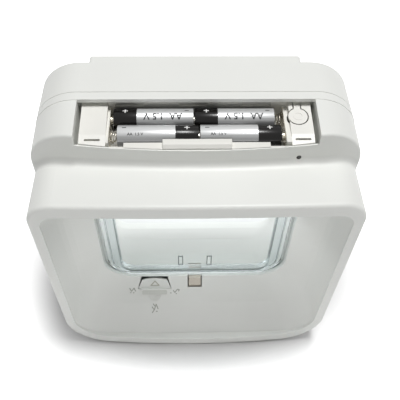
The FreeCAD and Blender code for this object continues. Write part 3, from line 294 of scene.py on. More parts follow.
def enamelled_winding(name):
    """Turns of enamelled copper wire, laid side by side at 0.5 mm, coarser than the real 0.2 mm."""
    turn, waves_per_unit = 0.0005, 20
    material, tree = empty_material(name)
    place = add(tree, "ShaderNodeTexCoord").outputs["Object"]
    turns = add(tree, "ShaderNodeTexWave", {"Vector": place, "Scale": 1 / (turn * waves_per_unit),
                                             "Distortion": 0.4}, bands_direction="Y")
    tone = blend(tree, turns.outputs["Fac"], opaque(linear("6E3417")), opaque(linear("C6723C")))
    skin = add(tree, "ShaderNodeBump", {"Height": turns.outputs["Fac"], "Strength": 0.6,
                                        "Distance": 0.0002})
    surface = add(tree, "ShaderNodeBsdfPrincipled", {"Base Color": tone, "Metallic": 0.7,
                                                     "Roughness": 0.35, "Normal": skin.outputs["Normal"]})
    add(tree, "ShaderNodeOutputMaterial", {"Surface": surface.outputs["BSDF"]})
    return material


def dress(material, *names):
    """Give CAD parts their finish."""
    for name in names:
        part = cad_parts[name]
        part.data.materials.clear()
        part.data.materials.append(material)


def only(piece):
    """Select one object and make it the active one."""
    bpy.ops.object.select_all(action="DESELECT")
    piece.select_set(True)
    bpy.context.view_layer.objects.active = piece


def join(pieces, name):
    """One object of several, with its place in its mesh."""
    only(pieces[0])
    for piece in pieces[1:]:
        piece.select_set(True)
    if len(pieces) > 1:
        bpy.ops.object.join()
    joined = bpy.context.view_layer.objects.active
    bpy.ops.object.transform_apply(location=True, rotation=True, scale=True)
    joined.name = name
    joined.data.name = name
    return joined


def select_faces(piece, test):
    """In edit mode, select the faces that pass the test on centre and normal."""
    bpy.ops.mesh.select_mode(type="FACE")
    mesh = bmesh.from_edit_mesh(piece.data)
    for face in mesh.faces:
        face.select_set(bool(test(face.calc_center_median(), face.normal)))
    mesh.select_flush(True)
    bmesh.update_edit_mesh(piece.data)


def stand(piece, matrix):
    """Move the mesh of a finished piece to its place."""
    piece.data.transform(matrix)
    piece.data.update()


def settled(scale=(1.0, 1.0, 1.0)):
    """The object just added, with its scale, place and turn kept in its mesh."""
    made = bpy.context.object
    made.scale = scale
    bpy.ops.object.transform_apply(location=True, rotation=True, scale=True)
    return made


def round_corners(radius, segments):
    """Round the corners of the flat active piece."""
    bpy.ops.object.mode_set(mode="EDIT")
    bpy.ops.mesh.select_all(action="SELECT")
    bpy.ops.mesh.bevel(offset=radius, segments=segments, affect="VERTICES")
    bpy.ops.object.mode_set(mode="OBJECT")


def thicken(piece, depth):
    """Give a flat piece its thickness, along its normals."""
    only(piece)
    thick = piece.modifiers.new("thick", "SOLIDIFY")
    thick.thickness = depth
    thick.offset = 1.0
    bpy.ops.object.modifier_apply(modifier="thick")


def strokes(name, lines, width):
    """Flat sign of straight strokes with rounded ends, drawn about the origin in the XY plane."""
    made = []
    for (x0, y0), (x1, y1) in lines:
        length = math.hypot(x1 - x0, y1 - y0) + width
        bpy.ops.mesh.primitive_plane_add(size=1.0, location=((x0 + x1) / 2, (y0 + y1) / 2, 0),
                                         rotation=(0, 0, math.atan2(y1 - y0, x1 - x0)))
        made.append(settled((length, width, 1.0)))
        round_corners(width * 0.49, 3)
    return join(made, name)


def lay_on(sign, target, matrix, rise):
    """Lay a flat sign on a CAD part and give it its thickness."""
    stand(sign, matrix)
    only(sign)
    wrap = sign.modifiers.new("lie", "SHRINKWRAP")
    wrap.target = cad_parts[target]
    wrap.wrap_method = "NEAREST_SURFACEPOINT"
    wrap.wrap_mode = "ABOVE_SURFACE"
    bpy.ops.object.modifier_apply(modifier="lie")
    thicken(sign, rise)


def facing(place, normal, up):
    """Placing matrix of a flat sign: its own Z along the normal, its own Y towards up."""
    z = Vector(normal).normalized()
    x = Vector(up).cross(z).normalized()
    y = z.cross(x)
    turn = Matrix((x, y, z)).transposed().to_4x4()
    return Matrix.Translation(Vector(place)) @ turn


# Slope of the sill panel in front of the flap, as in the CAD part: from the crease up to the opening
crease = Vector((0.0, -0.079, -0.0799))
panel_turn = math.atan2(15.9, 16.0)
panel_up = Vector((0.0, math.cos(panel_turn), math.sin(panel_turn)))
panel_out = Vector((0.0, -math.sin(panel_turn), math.cos(panel_turn)))
# The steeper panel below the crease
lower_up = Vector((0.0, 17.0, 22.6)).normalized()
lower_out = Vector((0.0, -22.6, 17.0)).normalized()
# Middle of the lock key, across the sill
key_centre = -0.0333
# Plane halfway through the flap at rest, and its lugs' middles across it
flap_plane = -0.058
lug_places = {"left": -0.0115, "right": 0.0115}


def on_panel(x, along):
    """Point of the sill panel: x across, and along it up from the crease."""
    return crease + Vector((x, 0, 0)) + panel_up * along


class CATFLAP_OT_housing(bpy.types.Operator):
    """Finish the housing's two shells"""
    bl_idname = "catflap.housing"
    bl_label = "Housing"

    def execute(self, context):
        settings = context.scene.catflap_housing
        # White ABS, satin from a fine spark texture
        white = moulded_plastic("white_abs_spark_textured", settings.shell, 0.46, settings.grain, 0.00006)
        dress(white, "front_housing", "rear_housing")
        return {"FINISHED"}


class CATFLAP_OT_flap(bpy.types.Operator):
    """Finish the clear flap, its spindle and bushes, and the seal round it"""
    bl_idname = "catflap.flap"
    bl_label = "Flap"

    lip: length_setting("Lip", "Width of the thin lip round the frame", 4.0)
    frame_width: length_setting("Frame", "Width of the frame down the sides, lip included", 10.8)
    foot: length_setting("Foot", "Height of the frame under the pane, lip included", 4.8)
    thickness: length_setting("Thickness", "Depth of the frame from front to back", 8.0)
    pane: length_setting("Pane", "Thickness of the pane", 2.4)
    lug_width: length_setting("Lug width", "Width of a lug's edge, middle to middle", 3.4)
    lug_rise: length_setting("Lug rise", "Height of a lug over the pane", 0.5)
    lug_edge: length_setting("Lug edge", "Width of a lug's frosted edge", 0.7)

    def face(self, piece, side):
        """Select the flat face furthest out on one side of the piece."""
        slack = 0.05 * MM
        reach = max(v.co.y * side for v in piece.data.vertices)
        select_faces(piece, lambda c, n: n.y * side > SQUARE_ON and c.y * side > reach - slack)

    def shift(self, piece, low, high, split):
        """Move the selected face's corners below the split by low, and the others by high."""
        mesh = bmesh.from_edit_mesh(piece.data)
        for vertex in mesh.verts:
            if vertex.select:
                vertex.co.z += low if vertex.co.z < split else high
        bmesh.update_edit_mesh(piece.data)

    def panel(self, low, hinge, half):
        """The frame, stepped in to the pane from both sides, with its foot's corners rounded."""
        height = hinge.z - low
        # Depth of the step from lip to frame, and radius of the foot's corners
        step, radius = 1.6 * MM, 21.0 * MM
        # Height of the lip at the foot; the step's top edge is drawn down and the pane's up
        lip_foot, step_drop, pane_rise = 1.4 * MM, 1.5 * MM, 2.3 * MM
        # Corners under this height belong to the foot
        split = low + radius + 1 * MM
        bpy.ops.mesh.primitive_cube_add(size=1.0, location=(0, 0, low + height / 2))
        flap = settled((2 * half, self.thickness - 2 * step, height))
        bpy.ops.object.mode_set(mode="EDIT")
        bpy.ops.mesh.select_mode(type="EDGE")
        mesh = bmesh.from_edit_mesh(flap.data)
        for edge in mesh.edges:
            a, b = (v.co for v in edge.verts)
            edge.select_set(a.z < split and b.z < split and abs(a.y - b.y) > MM)
        bmesh.update_edit_mesh(flap.data)
        bpy.ops.mesh.bevel(offset=radius, segments=16, affect="EDGES")
        for side in (-1, 1):
            flap.update_from_editmode()
            self.face(flap, side)
            bpy.ops.mesh.inset(thickness=self.lip)
            self.shift(flap, lip_foot - self.lip, -step_drop, split)
            bpy.ops.mesh.extrude_region_move(TRANSFORM_OT_translate={"value": (0, side * step, 0)})
            bpy.ops.mesh.inset(thickness=self.frame_width - self.lip)
            self.shift(flap, self.foot - lip_foot - self.frame_width + self.lip, pane_rise, split)
            sink = (self.thickness - self.pane) / 2
            bpy.ops.mesh.extrude_region_move(TRANSFORM_OT_translate={"value": (0, -side * sink, 0)})
        bpy.ops.object.mode_set(mode="OBJECT")
        only(flap)
        soft = flap.modifiers.new("soft", "BEVEL")
        soft.width = 0.55 * MM
        soft.segments = 3
        soft.limit_method = "ANGLE"
        soft.angle_limit = math.radians(40)
        bpy.ops.object.modifier_apply(modifier="soft")
        return flap

    def lug(self, x):
        """Open lug on the front of the pane: a low frame round a hollow, sunk into the pane."""
        width, height, wall, sunk = 4.0 * MM, 13.0 * MM, 0.9 * MM, 0.4 * MM
        middle = -44.9 * MM
        rise = self.lug_rise
        front = -self.pane / 2 - rise
        bpy.ops.mesh.primitive_cube_add(size=1.0, location=(x, front + rise / 2 + sunk / 2, middle))
        lug = settled((width, rise + sunk, height))
        bpy.ops.object.mode_set(mode="EDIT")
        select_faces(lug, lambda c, n: n.y < -SQUARE_ON)
        bpy.ops.mesh.inset(thickness=wall)
        bpy.ops.mesh.extrude_region_move(TRANSFORM_OT_translate={"value": (0, rise, 0)})
        bpy.ops.object.mode_set(mode="OBJECT")
        return lug

    def rod(self, radius, length, height, sides):
        """Rod across the flap, on the line of its hinge."""
        bpy.ops.mesh.primitive_cylinder_add(vertices=sides, radius=radius, depth=length,
                                            location=(0, 0, height), rotation=(0, math.pi / 2, 0))
        return bpy.context.object

    def flap(self):
        """The whole flap: its frame and pane, the barrel of its hinge with a bore, and two lugs."""
        low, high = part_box("flap_panel")
        barrel, bore = 5.0 * MM, 2.03 * MM
        half = (high.x - low.x) / 2
        hinge = Vector((0.0, (low.y + high.y) / 2, high.z - barrel))
        flap = self.panel(low.z, hinge, half)
        extras = [self.rod(barrel, 2 * half, hinge.z, 64)]
        extras += [self.lug(x) for x in lug_places.values()]
        extras.append(self.rod(bore, 3 * half, hinge.z, 48))
        for part in extras:
            only(flap)
            merge = flap.modifiers.new("merge", "BOOLEAN")
            merge.operation = "DIFFERENCE" if part is extras[-1] else "UNION"
            merge.solver = "EXACT"
            merge.object = part
            bpy.ops.object.modifier_apply(modifier="merge")
        for part in extras:
            bpy.data.objects.remove(part)
        stand(flap, Matrix.Translation((0.0, hinge.y, 0.0)))
        only(flap)
        # Below the steps of the bevels, so that the pane stays flat
        bpy.ops.object.shade_smooth_by_angle(angle=math.radians(10))
        flap.name = "flap_dressed"
        flap.data.name = "flap_dressed"
        return flap

    def lug_edges(self):
        """Dark outlines of the two lugs, a hair in front of them: painted shade for the clear lugs' dark
        edges.
        """
        # Painted shade: a dark grey outline stands in for the clear lugs' dark edges
        shaded = moulded_plastic("painted_shade_lug_edge", linear("6C7270"), 0.45, 0.0005, 0.00003,
                                  1.585)
        half, low, high = self.lug_width / 2, -51.2 * MM, -38.6 * MM
        hair, depth = 0.02 * MM, 0.2 * MM
        front = flap_plane - self.pane / 2 - self.lug_rise - hair
        corners = [(-half, low), (half, low), (half, high), (-half, high)]
        for side, middle in lug_places.items():
            edge = strokes("lug_edge_" + side, list(zip(corners, corners[1:] + corners[:1])), self.lug_edge)
            stand(edge, Matrix.Translation((middle, front, 0.0)) @ Matrix.Rotation(math.pi / 2, 4, "X"))
            thicken(edge, depth)
            edge.data.materials.append(shaded)
            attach(edge, "flap")

    def execute(self, context):
        settings = context.scene.catflap_housing
        flap = self.flap()
        flap.data.materials.clear()
        flap.data.materials.append(clear_polycarbonate("clear_polycarbonate_polished", settings.clear))
        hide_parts("flap_panel")
        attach(flap, "flap")
        self.lug_edges()
        # Ground steel rod, drawn along its length
        dress(drawn_metal("ground_steel_rod", linear("A6A6A8"), 0.25, (0.05, 1.0, 1.0)), "flap_spindle")
        # Natural acetal, milky and slippery
        dress(moulded_plastic("natural_acetal_moulded", linear("D6D4C9"), 0.38, 0.0006, 0.00003, 1.48),
              "spindle_bush_left", "spindle_bush_right")
        # Milky silicone lip
        dress(moulded_plastic("milky_silicone_extruded", linear("C9CCC9"), 0.5, 0.0007, 0.00004, 1.41),
              "brush_seal")
        return {"FINISHED"}


class CATFLAP_OT_latch(bpy.types.Operator):
    """Finish the latch and its drive"""
    bl_idname = "catflap.latch"
    bl_label = "Latch"

    def execute(self, context):
        settings = context.scene.catflap_housing
        # Grey acetal, smooth from a polished tool
        dress(moulded_plastic("grey_acetal_moulded", settings.catch, 0.36, 0.0006, 0.00003, 1.48),
              "latch_catch", "outer_catch")
        # Natural acetal gears and carriage
        dress(moulded_plastic("natural_acetal_gears", linear("DEDBCF"), 0.34, 0.0005, 0.00002, 1.48),
              "latch_carriage", "latch_gear", "motor_pinion")
        # Glass filled nylon, dull black
        dress(moulded_plastic("black_nylon_glass_filled", linear("1D1D1E"), 0.55, 0.0005, 0.00005),
              "mechanism_bracket", "button_switch")
        # Deep drawn can with a zinc coat
        dress(drawn_metal("zinc_plated_can", linear("B2B4B6"), 0.32, (1.0, 0.06, 1.0)), "latch_motor")
        dress(drawn_metal("turned_steel_pin", linear("A2A2A4"), 0.24, (1.0, 0.06, 1.0)), "gear_axle")
        return {"FINISHED"}


class CATFLAP_OT_lock_key(bpy.types.Operator):
    """Finish the manual lock key and put the triangle on it"""
    bl_idname = "catflap.lock_key"
    bl_label = "Lock key"

    triangle_height: length_setting("Triangle", "Height of the triangle on the key", 3.6)
    stroke: length_setting("Stroke", "Width of the triangle's lines", 0.8)
    pad_width: length_setting("Pad width", "Width of the pad on the grip bar", 20.6)
    pad_length: length_setting("Pad length", "Length of the pad on the grip bar", 3.8)

    def execute(self, context):
        settings = context.scene.catflap_housing
        # The same white ABS as the housing, a little glossier from use
        white = moulded_plastic("white_abs_lock_key", settings.shell, 0.4, settings.grain, 0.00004)
        dress(white, "lock_key")
        dress(drawn_metal("steel_key_pin", linear("A2A2A4"), 0.24, (0.05, 1.0, 1.0)), "key_pin")
        # A triangle nearly twice as wide as high, on the key's upper half
        half, height = self.triangle_height * 0.95, self.triangle_height
        place = on_panel(key_centre + 0.3 * MM, 16.8 * MM)
        sign = strokes("key_triangle", [((-half, -height / 2), (half, -height / 2)),
                                        ((half, -height / 2), (0, height / 2)),
                                        ((0, height / 2), (-half, -height / 2))], self.stroke)
        lay_on(sign, "lock_key", facing(place, panel_out, panel_up), 0.15 * MM)
        # Its lines are filled with a pale grey
        pale = moulded_plastic("pale_grey_filled_outline", linear("BDBCB0"), 0.5, 0.0005, 0.00003)
        sign.data.materials.append(pale)
        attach(sign, "key")

        # Thin pad on the grip bar at the key's foot, a little greyer than the key: painted shade across the
        # bar
        bar_place, bar_height = 9.5 * MM, 2.3 * MM
        bpy.ops.mesh.primitive_plane_add(size=1.0)
        pad = settled((self.pad_width, self.pad_length, 1.0))
        pad.name = "key_grip_painted_shade"
        round_corners(1.2 * MM, 6)
        place = on_panel(key_centre, bar_place) + panel_out * bar_height
        lay_on(pad, "lock_key", facing(place, panel_out, panel_up), 0.2 * MM)
        # Its pale grey is painted shade on the grip bar
        soft = moulded_plastic("painted_shade_grip_band", linear("D6D7D1"), 0.6, 0.0006, 0.00005, 1.5)
        pad.data.materials.append(soft)
        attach(pad, "key")
        return {"FINISHED"}


class CATFLAP_OT_sill_signs(bpy.types.Operator):
    """Put the three small signs beside and below the lock key"""
    bl_idname = "catflap.sill_signs"
    bl_label = "Sill signs"

    stroke: length_setting("Stroke", "Width of the signs' lines", 0.8)

    def execute(self, context):
        settings = context.scene.catflap_housing
        # Raised lines of the same ABS, with a grey fill that makes them readable
        grey = moulded_plastic("grey_filled_sign", settings.sign, 0.5, 0.0005, 0.00003)
        # Strokes as pairs of ends, in millimetres
        way_in = [((-2.6, 1.4), (-1.2, -1.0)), ((-1.2, -1.0), (0.9, 1.6)), ((0.9, 1.6), (2.2, -0.9)),
                  ((-2.0, -2.2), (-1.6, -2.2)), ((0.4, -2.3), (0.8, -2.3))]
        way_out = [((-2.2, 0.4), (-1.0, -1.2)), ((-1.0, -1.2), (1.2, 1.5)), ((1.2, 1.5), (2.6, 1.2)),
                   ((2.6, 1.2), (2.2, 0.0)), ((-4.6, -1.6), (-4.1, -1.6)), ((0.0, -2.2), (0.4, -2.2))]
        both_shut = [((-2.3, 1.2), (-0.6, -1.5)), ((-0.6, -1.5), (-2.3, -4.1)), ((1.1, 3.5), (-0.6, -1.5)),
                     ((-1.2, 3.7), (-0.1, 2.0)), ((1.1, 3.5), (2.5, -0.5)), ((1.0, -2.9), (1.9, -2.9))]
        # Name, strokes and place of each sign
        signs = [
            ("sign_way_in", way_in, facing(on_panel(-0.0514, 0.0111), panel_out, panel_up)),
            ("sign_way_out", way_out, facing(on_panel(-0.0156, 0.0098), panel_out, panel_up)),
            ("sign_both_shut", both_shut, facing((-0.0334, -0.0820, -0.0839), lower_out, lower_up)),
        ]
        for name, lines, matrix in signs:
            scaled = [((a * MM, b * MM), (c * MM, d * MM)) for (a, b), (c, d) in lines]
            sign = strokes(name, scaled, self.stroke)
            lay_on(sign, "front_housing", matrix, 0.12 * MM)
            sign.data.materials.append(grey)
            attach(sign, "housing")
        return {"FINISHED"}


class CATFLAP_OT_battery_tray(bpy.types.Operator):
    """Finish the battery tray and the settings button, and put the ring on the button"""
    bl_idname = "catflap.battery_tray"
    bl_label = "Battery tray"

    def execute(self, context):
        settings = context.scene.catflap_housing
        # Warm white ABS from another tool, smoother than the housing
        warm = moulded_plastic("warm_white_abs_smooth", settings.tray, 0.4, 0.0007, 0.00003)
        dress(warm, "battery_tray", "settings_button")
        bpy.ops.mesh.primitive_circle_add(vertices=48, radius=3.0 * MM, fill_type="NGON")
        ring = bpy.context.object
        ring.name = "button_ring"
        bpy.ops.object.mode_set(mode="EDIT")
        bpy.ops.mesh.select_all(action="SELECT")
        bpy.ops.mesh.inset(thickness=0.5 * MM)
        bpy.ops.mesh.delete(type="FACE")
        bpy.ops.object.mode_set(mode="OBJECT")
        # The button falls forwards by 3.3 mm in 26.7, so the ring starts a little under its top
        tilt = math.atan2(3.3, 26.7)
        place = Vector((0.063, -0.044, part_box("settings_button")[1].z - 1.2 * MM))
        out = (0, -math.sin(tilt), math.cos(tilt))
        up = (0, math.cos(tilt), math.sin(tilt))
        lay_on(ring, "settings_button", facing(place, out, up), 0.2 * MM)
        ring.data.materials.append(warm)
        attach(ring, "button")
        return {"FINISHED"}


class CATFLAP_OT_cells(bpy.types.Operator):
    """Build the four cells with their jackets, end caps and signs"""
    bl_idname = "catflap.cells"
    bl_label = "Cells"

    sides: bpy.props.IntProperty(name="Sides", description="Facets round a cell", default=96, min=24)

    def lathe_end(self, cell, direction, start, radii):
        """Step one end cap inwards through the given radii and places along the cell."""
        select_faces(cell, lambda c, n: n.x * direction > SQUARE_ON)
        radius, x = start
        for new_radius, new_x in radii:
            bpy.ops.mesh.inset(thickness=(radius - new_radius), depth=(new_x - x) * direction)
            radius, x = new_radius, new_x

    def jacket(self, length, radius, band_start, nub):
        """One cell along X, from its flat end at 0 to the tip of its button."""
        body = length - nub
        bpy.ops.mesh.primitive_cylinder_add(vertices=self.sides, radius=radius, depth=body,
                                            location=(body / 2, 0, 0), rotation=(0, math.pi / 2, 0))
        cell = settled()
        bpy.ops.object.mode_set(mode="EDIT")
        bpy.ops.mesh.select_all(action="SELECT")
        bpy.ops.mesh.bisect(plane_co=(band_start, 0, 0), plane_no=(1, 0, 0))
        bpy.ops.mesh.select_all(action="DESELECT")
        # The film is rolled over the rim, and the steel cap is let in behind a shoulder
        shoulder, roll = 0.85 * MM, 0.45 * MM
        inner = radius - roll
        # Radius and place along the cell of each ring of the two caps
        self.lathe_end(cell, 1, (radius, body), [
            (radius - 0.12 * MM, body), (inner, body), (radius - shoulder, body - 0.04 * MM),
            (radius - shoulder - 0.04 * MM, body - 0.3 * MM), (4.1 * MM, body - 0.3 * MM),
            (3.6 * MM, body - 0.06 * MM), (3.0 * MM, body), (2.72 * MM, body + 0.12 * MM),
            (2.68 * MM, length - 0.18 * MM), (2.5 * MM, length - 0.03 * MM), (2.2 * MM, length)])
        self.lathe_end(cell, -1, (radius, 0.0), [
            (radius - 0.12 * MM, 0.0), (inner, 0.0), (radius - shoulder, 0.04 * MM),
            (radius - shoulder - 0.04 * MM, 0.3 * MM), (5.0 * MM, 0.3 * MM), (4.6 * MM, 0.06 * MM),
            (4.2 * MM, 0.02 * MM), (0.5 * MM, 0.0)])
        bpy.ops.object.mode_set(mode="OBJECT")
        # The rim's edges are drawn back along the cell, for a soft turn of the film
        soft, hair = 0.35 * MM, 0.001 * MM
        for vertex in cell.data.vertices:
            reach = math.hypot(vertex.co.y, vertex.co.z)
            if reach > radius - hair and (vertex.co.x < hair or vertex.co.x > body - hair):
                vertex.co.x += soft if vertex.co.x < body / 2 else -soft
        # Place along the cell and angle from its top, for the lines of its print and its painted shade
        around = cell.data.uv_layers.new(name="round")
        for loop in cell.data.loops:
            x, y, z = cell.data.vertices[loop.vertex_index].co
            around.uv[loop.index].vector = (x, abs(math.atan2(y, z)))
        band, silver, steel = range(3)
        cap_depth, cap_gap, side_on = 0.5 * MM, 0.01 * MM, 0.3
        for face in cell.data.polygons:
            x, y, z = face.center
            reach = math.hypot(y, z)
            end = x > body - cap_depth or x < cap_depth
            in_cap = reach < radius - shoulder - cap_gap
            if end and (in_cap or abs(face.normal.x) < side_on and reach < inner):
                face.material_index = steel
            else:
                face.material_index = band if x > band_start else silver
        return cell

    def sign(self, text, size, place, roll, radius):
        """A flat word or mark, wrapped round the cell's jacket at a place along it."""
        bpy.ops.object.text_add()
        made = bpy.context.object
        made.data.body = text
        made.data.size = size
        # A little bolder than the font
        made.data.offset = size * 0.018
        made.data.align_x = "CENTER"
        made.data.align_y = "CENTER"
        bpy.ops.object.convert(target="MESH")
        made = bpy.context.object
        middle = sum((Vector(c) for c in made.bound_box), Vector()) / 8
        stand(made, Matrix.Translation(-middle))
        # Cuts along the cell, so that it bends round it; they reach out to the size by the spread
        slices, spread = 12, 1.5
        bpy.ops.object.mode_set(mode="EDIT")
        for k in range(-slices, slices + 1):
            bpy.ops.mesh.select_all(action="SELECT")
            bpy.ops.mesh.bisect(plane_co=(0, k * size / slices / spread, 0), plane_no=(0, 1, 0))
        bpy.ops.object.mode_set(mode="OBJECT")
        for vertex in made.data.vertices:
            angle = roll + vertex.co.y / radius
            vertex.co = Vector((place + vertex.co.x, math.sin(angle) * radius, math.cos(angle) * radius))
        thicken(made, 0.03 * MM)
        return made

    def execute(self, context):
        settings = context.scene.catflap_cells
        # Black and silver print under clear shrink film, with painted shade down the silver's sides;
        # pressed steel ends with a nickel coat
        band = printed_film("black_printed_film", settings.band, 0.0, 0.22)
        silver = printed_film("silver_print_and_painted_shade", settings.silver, 0.42, 0.3, lined_and_shaded=True)
        steel = drawn_metal("nickel_plated_steel_cap", linear("C7C5BF"), 0.22, (1.0, 0.2, 0.2))
        white_ink = printed_film("white_print", linear("E9E9E7"), 0.0, 0.35)
        dark_ink = printed_film("dark_grey_print", linear("2B2C2E"), 0.0, 0.35)
        # Length of the button, and how far the print stands off the jacket
        nub, print_gap = 1.0 * MM, 0.02 * MM
        for name in ("cell_rear_left", "cell_rear_right", "cell_front_left", "cell_front_right"):
            low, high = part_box(name)
            length, radius = high.x - low.x, (high.z - low.z) / 2
            band_start = length - nub - settings.band_length
            cell = self.jacket(length, radius, band_start, nub)
            for material in (band, silver, steel):
                cell.data.materials.append(material)
            # The rear cells lie turned end for end, so their print leans the other way; the size of
            # their word, its place from the flat end and its angle down the side differ too
            rear = "rear" in name
            lean = -1 if rear else 1
            word_size, word_place, word_angle = (6.0, 19, -26) if rear else (2.4, 11, -30)
            lift = radius + print_gap
            sign_roll = lean * math.radians(7)
            middle = length - nub - settings.band_length * 0.5
            word_roll = lean * math.radians(word_angle)
            marks = [
                self.sign("+", settings.sign_height * 1.5, middle, sign_roll, lift),
                self.sign("\u2212", settings.sign_height * 1.2, 4.2 * MM, sign_roll, lift),
                self.sign("AA  1.5 V", word_size * MM, word_place * MM, word_roll, lift),
            ]
            for mark, ink in zip(marks, (white_ink, dark_ink, dark_ink)):
                mark.data.materials.append(ink)
            whole = join([cell] + marks, name + "_dressed")
            if rear:
                stand(whole, Matrix.Rotation(math.pi, 4, "Z") @ Matrix.Translation((-length, 0, 0)))
            stand(whole, Matrix.Translation((low.x, (low.y + high.y) / 2, (low.z + high.z) / 2)))
            only(whole)
            bpy.ops.object.shade_smooth_by_angle(angle=math.radians(32))
            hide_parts(name)
            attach(whole, "housing")
        return {"FINISHED"}


class CATFLAP_OT_contacts(bpy.types.Operator):
    """Finish the battery contacts"""
    bl_idname = "catflap.contacts"
    bl_label = "Contacts"

    def execute(self, context):
        # Spring steel with a bright nickel coat
        nickel = drawn_metal("nickel_plated_spring_steel", linear("C9C4B8"), 0.22, (1.0, 1.0, 0.2))
        dress(nickel, "positive_contact", "negative_contact", "bridge_contact")
        return {"FINISHED"}


class CATFLAP_OT_electronics(bpy.types.Operator):
    """Finish the board, the lamp, the light pipe, the reader coil and the leads"""
    bl_idname = "catflap.electronics"
    bl_label = "Electronics"

    def execute(self, context):
        board_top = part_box("control_board")[0].z + 1.6 * MM
        dress(circuit_board("green_solder_mask_board", board_top), "control_board")
        dress(moulded_plastic("water_clear_epoxy_lamp", linear("E4E2C4"), 0.15, 0.0005, 0.00001, 1.55),
              "status_led")
        # Dark tinted polycarbonate, so that the lamp shows only when it is lit
        dress(moulded_plastic("smoked_polycarbonate_polished", linear("171717"), 0.1, 0.0006, 0.00001,
                              1.585), "light_pipe")
        dress(moulded_plastic("natural_nylon_former", linear("D9D6CB"), 0.42, 0.0006, 0.00003),
              "coil_former")
        dress(enamelled_winding("enamelled_copper_winding"), "reader_coil")
        # Soft black PVC, slightly ribbed by the extruder
        dress(moulded_plastic("black_pvc_lead", linear("18181A"), 0.45, 0.0008, 0.00004), "motor_lead",
              "coil_lead")
        return {"FINISHED"}


class CATFLAP_OT_screws(bpy.types.Operator):
    """Finish the screws"""
    bl_idname = "catflap.screws"
    bl_label = "Screws"

    def execute(self, context):
        # Zinc plated steel, clear passivated
        zinc = drawn_metal("zinc_plated_screw", linear("B7B9BB"), 0.3, (1.0, 0.3, 1.0), 0.0003)
        dress(zinc, "housing_screws", "board_screws", "bracket_screws")
        return {"FINISHED"}


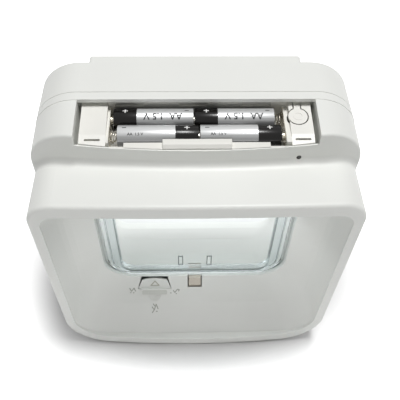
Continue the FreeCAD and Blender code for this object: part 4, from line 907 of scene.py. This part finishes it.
class CATFLAP_OT_stage(bpy.types.Operator):
    """Floor, lamps, world and camera"""
    bl_idname = "catflap.stage"
    bl_label = "Stage"

    def floor(self, settings):
        """White paper under the part. Away from the part it is seen as even white, and near it keeps
        the part's shadow."""
        low = cad_box[0]
        shadow_middle, shadow_end, white_start = (0.0, -0.02, low.z), 0.083, 0.145
        bpy.ops.mesh.primitive_plane_add(size=8.0, location=(0, 0, low.z))
        floor = settled()
        floor.name = "studio_floor"
        material, tree = empty_material("white_paper_floor")
        seen = seen_rays(tree)
        place = add(tree, "ShaderNodeTexCoord").outputs["Object"]
        oval = add(tree, "ShaderNodeMapping", {"Vector": place, "Scale": (0.7, 1.0, 1.0)})
        away = add(tree, "ShaderNodeVectorMath", {0: oval.outputs["Vector"], 1: shadow_middle},
                   operation="DISTANCE")
        white = add(tree, "ShaderNodeMapRange", {"Value": away.outputs["Value"], "From Min": shadow_end,
                                                 "From Max": white_start, "To Min": 0.0, "To Max": 1.0},
                    interpolation_type="SMOOTHSTEP")
        lift = add(tree, "ShaderNodeMath", {0: seen, 1: white.outputs["Result"]}, operation="MULTIPLY")
        grey = (settings.seen_floor,) * 3
        tone = blend(tree, seen, opaque(settings.floor), opaque(grey))
        paper = add(tree, "ShaderNodeBsdfDiffuse", {"Color": tone})
        glow = add(tree, "ShaderNodeEmission", {"Color": (1, 1, 1, 1), "Strength": lift.outputs["Value"]})
        both = add(tree, "ShaderNodeAddShader", {0: paper.outputs["BSDF"], 1: glow.outputs["Emission"]})
        add(tree, "ShaderNodeOutputMaterial", {"Surface": both.outputs["Shader"]})
        floor.data.materials.append(material)

    def world(self, scene, settings):
        """White to look at, and a faint light from all round."""
        world = scene.world or bpy.data.worlds.new("studio")
        scene.world = world
        world.use_nodes = True
        tree = world.node_tree
        tree.nodes.clear()
        strength = add(tree, "ShaderNodeMapRange", {"Value": seen_rays(tree), "To Min": settings.fill,
                                                    "To Max": 1.0})
        sky = add(tree, "ShaderNodeBackground", {"Color": (1, 1, 1, 1),
                                                 "Strength": strength.outputs["Result"]})
        add(tree, "ShaderNodeOutputWorld", {"Surface": sky.outputs["Background"]})

    def execute(self, context):
        settings = context.scene.catflap_stage
        scene = context.scene
        self.floor(settings)
        self.world(scene, settings)
        # Name, power, width, height, place and aim of each lamp
        lamps = [
            ("key", settings.key_power, 0.8, 0.6, (0.32, 0.14, 3.0), (0.0, 0.0, -0.02)),
            ("front", settings.front_power, 1.6, 0.35, (-0.05, -1.6, 0.1), (0.0, 0.0, -0.02)),
            ("sill", settings.sill_power, 0.12, 0.02, (0.01, -0.09, 0.03), (0.0, -0.08, -0.09)),
            ("passage", settings.passage_power, 0.12, 0.06, (0.0, 0.1, 0.06), (0.0, -0.03, -0.07)),
        ]
        for name, power, width, height, place, aim in lamps:
            bpy.ops.object.light_add(type="AREA", location=place)
            lamp = bpy.context.object
            lamp.name = "lamp_" + name
            lamp.data.shape = "RECTANGLE"
            lamp.data.energy = power
            lamp.data.size = width
            lamp.data.size_y = height
            lamp.rotation_euler = (Vector(aim) - Vector(place)).to_track_quat("-Z", "Y").to_euler()
            lamp.visible_camera = False

        # Place and turn that fit the photo
        place, turn = (-0.00781, -0.29525, 0.3447), (37.3363, -0.8389, -1.1574)
        bpy.ops.object.camera_add(location=place, rotation=[math.radians(angle) for angle in turn])
        camera = bpy.context.object
        camera.data.lens = settings.lens
        camera.data.sensor_width = 36.0
        camera.data.shift_x = 0.0047
        camera.data.clip_start = 0.01
        scene.camera = camera
        scene.view_settings.view_transform = "Standard"
        return {"FINISHED"}


class CATFLAP_PT_panel(bpy.types.Panel):
    """Sizes, colours and steps of the cat flap"""
    bl_idname = "CATFLAP_PT_panel"
    bl_label = "Cat flap"
    bl_space_type = "VIEW_3D"
    bl_region_type = "UI"
    bl_category = "Cat flap"

    def draw(self, context):
        for group in groups:
            settings = getattr(context.scene, group)
            for name in settings.__annotations__:
                self.layout.prop(settings, name)
        for step in steps:
            self.layout.operator(step.bl_idname)


groups = {"catflap_housing": HousingSettings, "catflap_cells": CellSettings, "catflap_stage": StageSettings}
steps = (CATFLAP_OT_housing, CATFLAP_OT_flap, CATFLAP_OT_latch, CATFLAP_OT_lock_key, CATFLAP_OT_sill_signs,
         CATFLAP_OT_battery_tray, CATFLAP_OT_cells, CATFLAP_OT_contacts, CATFLAP_OT_electronics,
         CATFLAP_OT_screws, CATFLAP_OT_stage)


def register():
    for group in groups.values():
        bpy.utils.register_class(group)
    for step in steps:
        bpy.utils.register_class(step)
    bpy.utils.register_class(CATFLAP_PT_panel)
    for name, group in groups.items():
        setattr(bpy.types.Scene, name, bpy.props.PointerProperty(type=group))


def unregister():
    for name in groups:
        delattr(bpy.types.Scene, name)
    bpy.utils.unregister_class(CATFLAP_PT_panel)
    for step in reversed(steps):
        bpy.utils.unregister_class(step)
    for group in reversed(list(groups.values())):
        bpy.utils.unregister_class(group)


def main():
    register()
    bpy.ops.object.select_all(action="DESELECT")
    bpy.ops.catflap.stage()
    bpy.ops.catflap.housing()
    bpy.ops.catflap.flap()
    bpy.ops.catflap.latch()
    bpy.ops.catflap.lock_key()
    bpy.ops.catflap.sill_signs()
    bpy.ops.catflap.battery_tray()
    bpy.ops.catflap.cells()
    bpy.ops.catflap.contacts()
    bpy.ops.catflap.electronics()
    bpy.ops.catflap.screws()


if __name__ == "__main__":
    main()
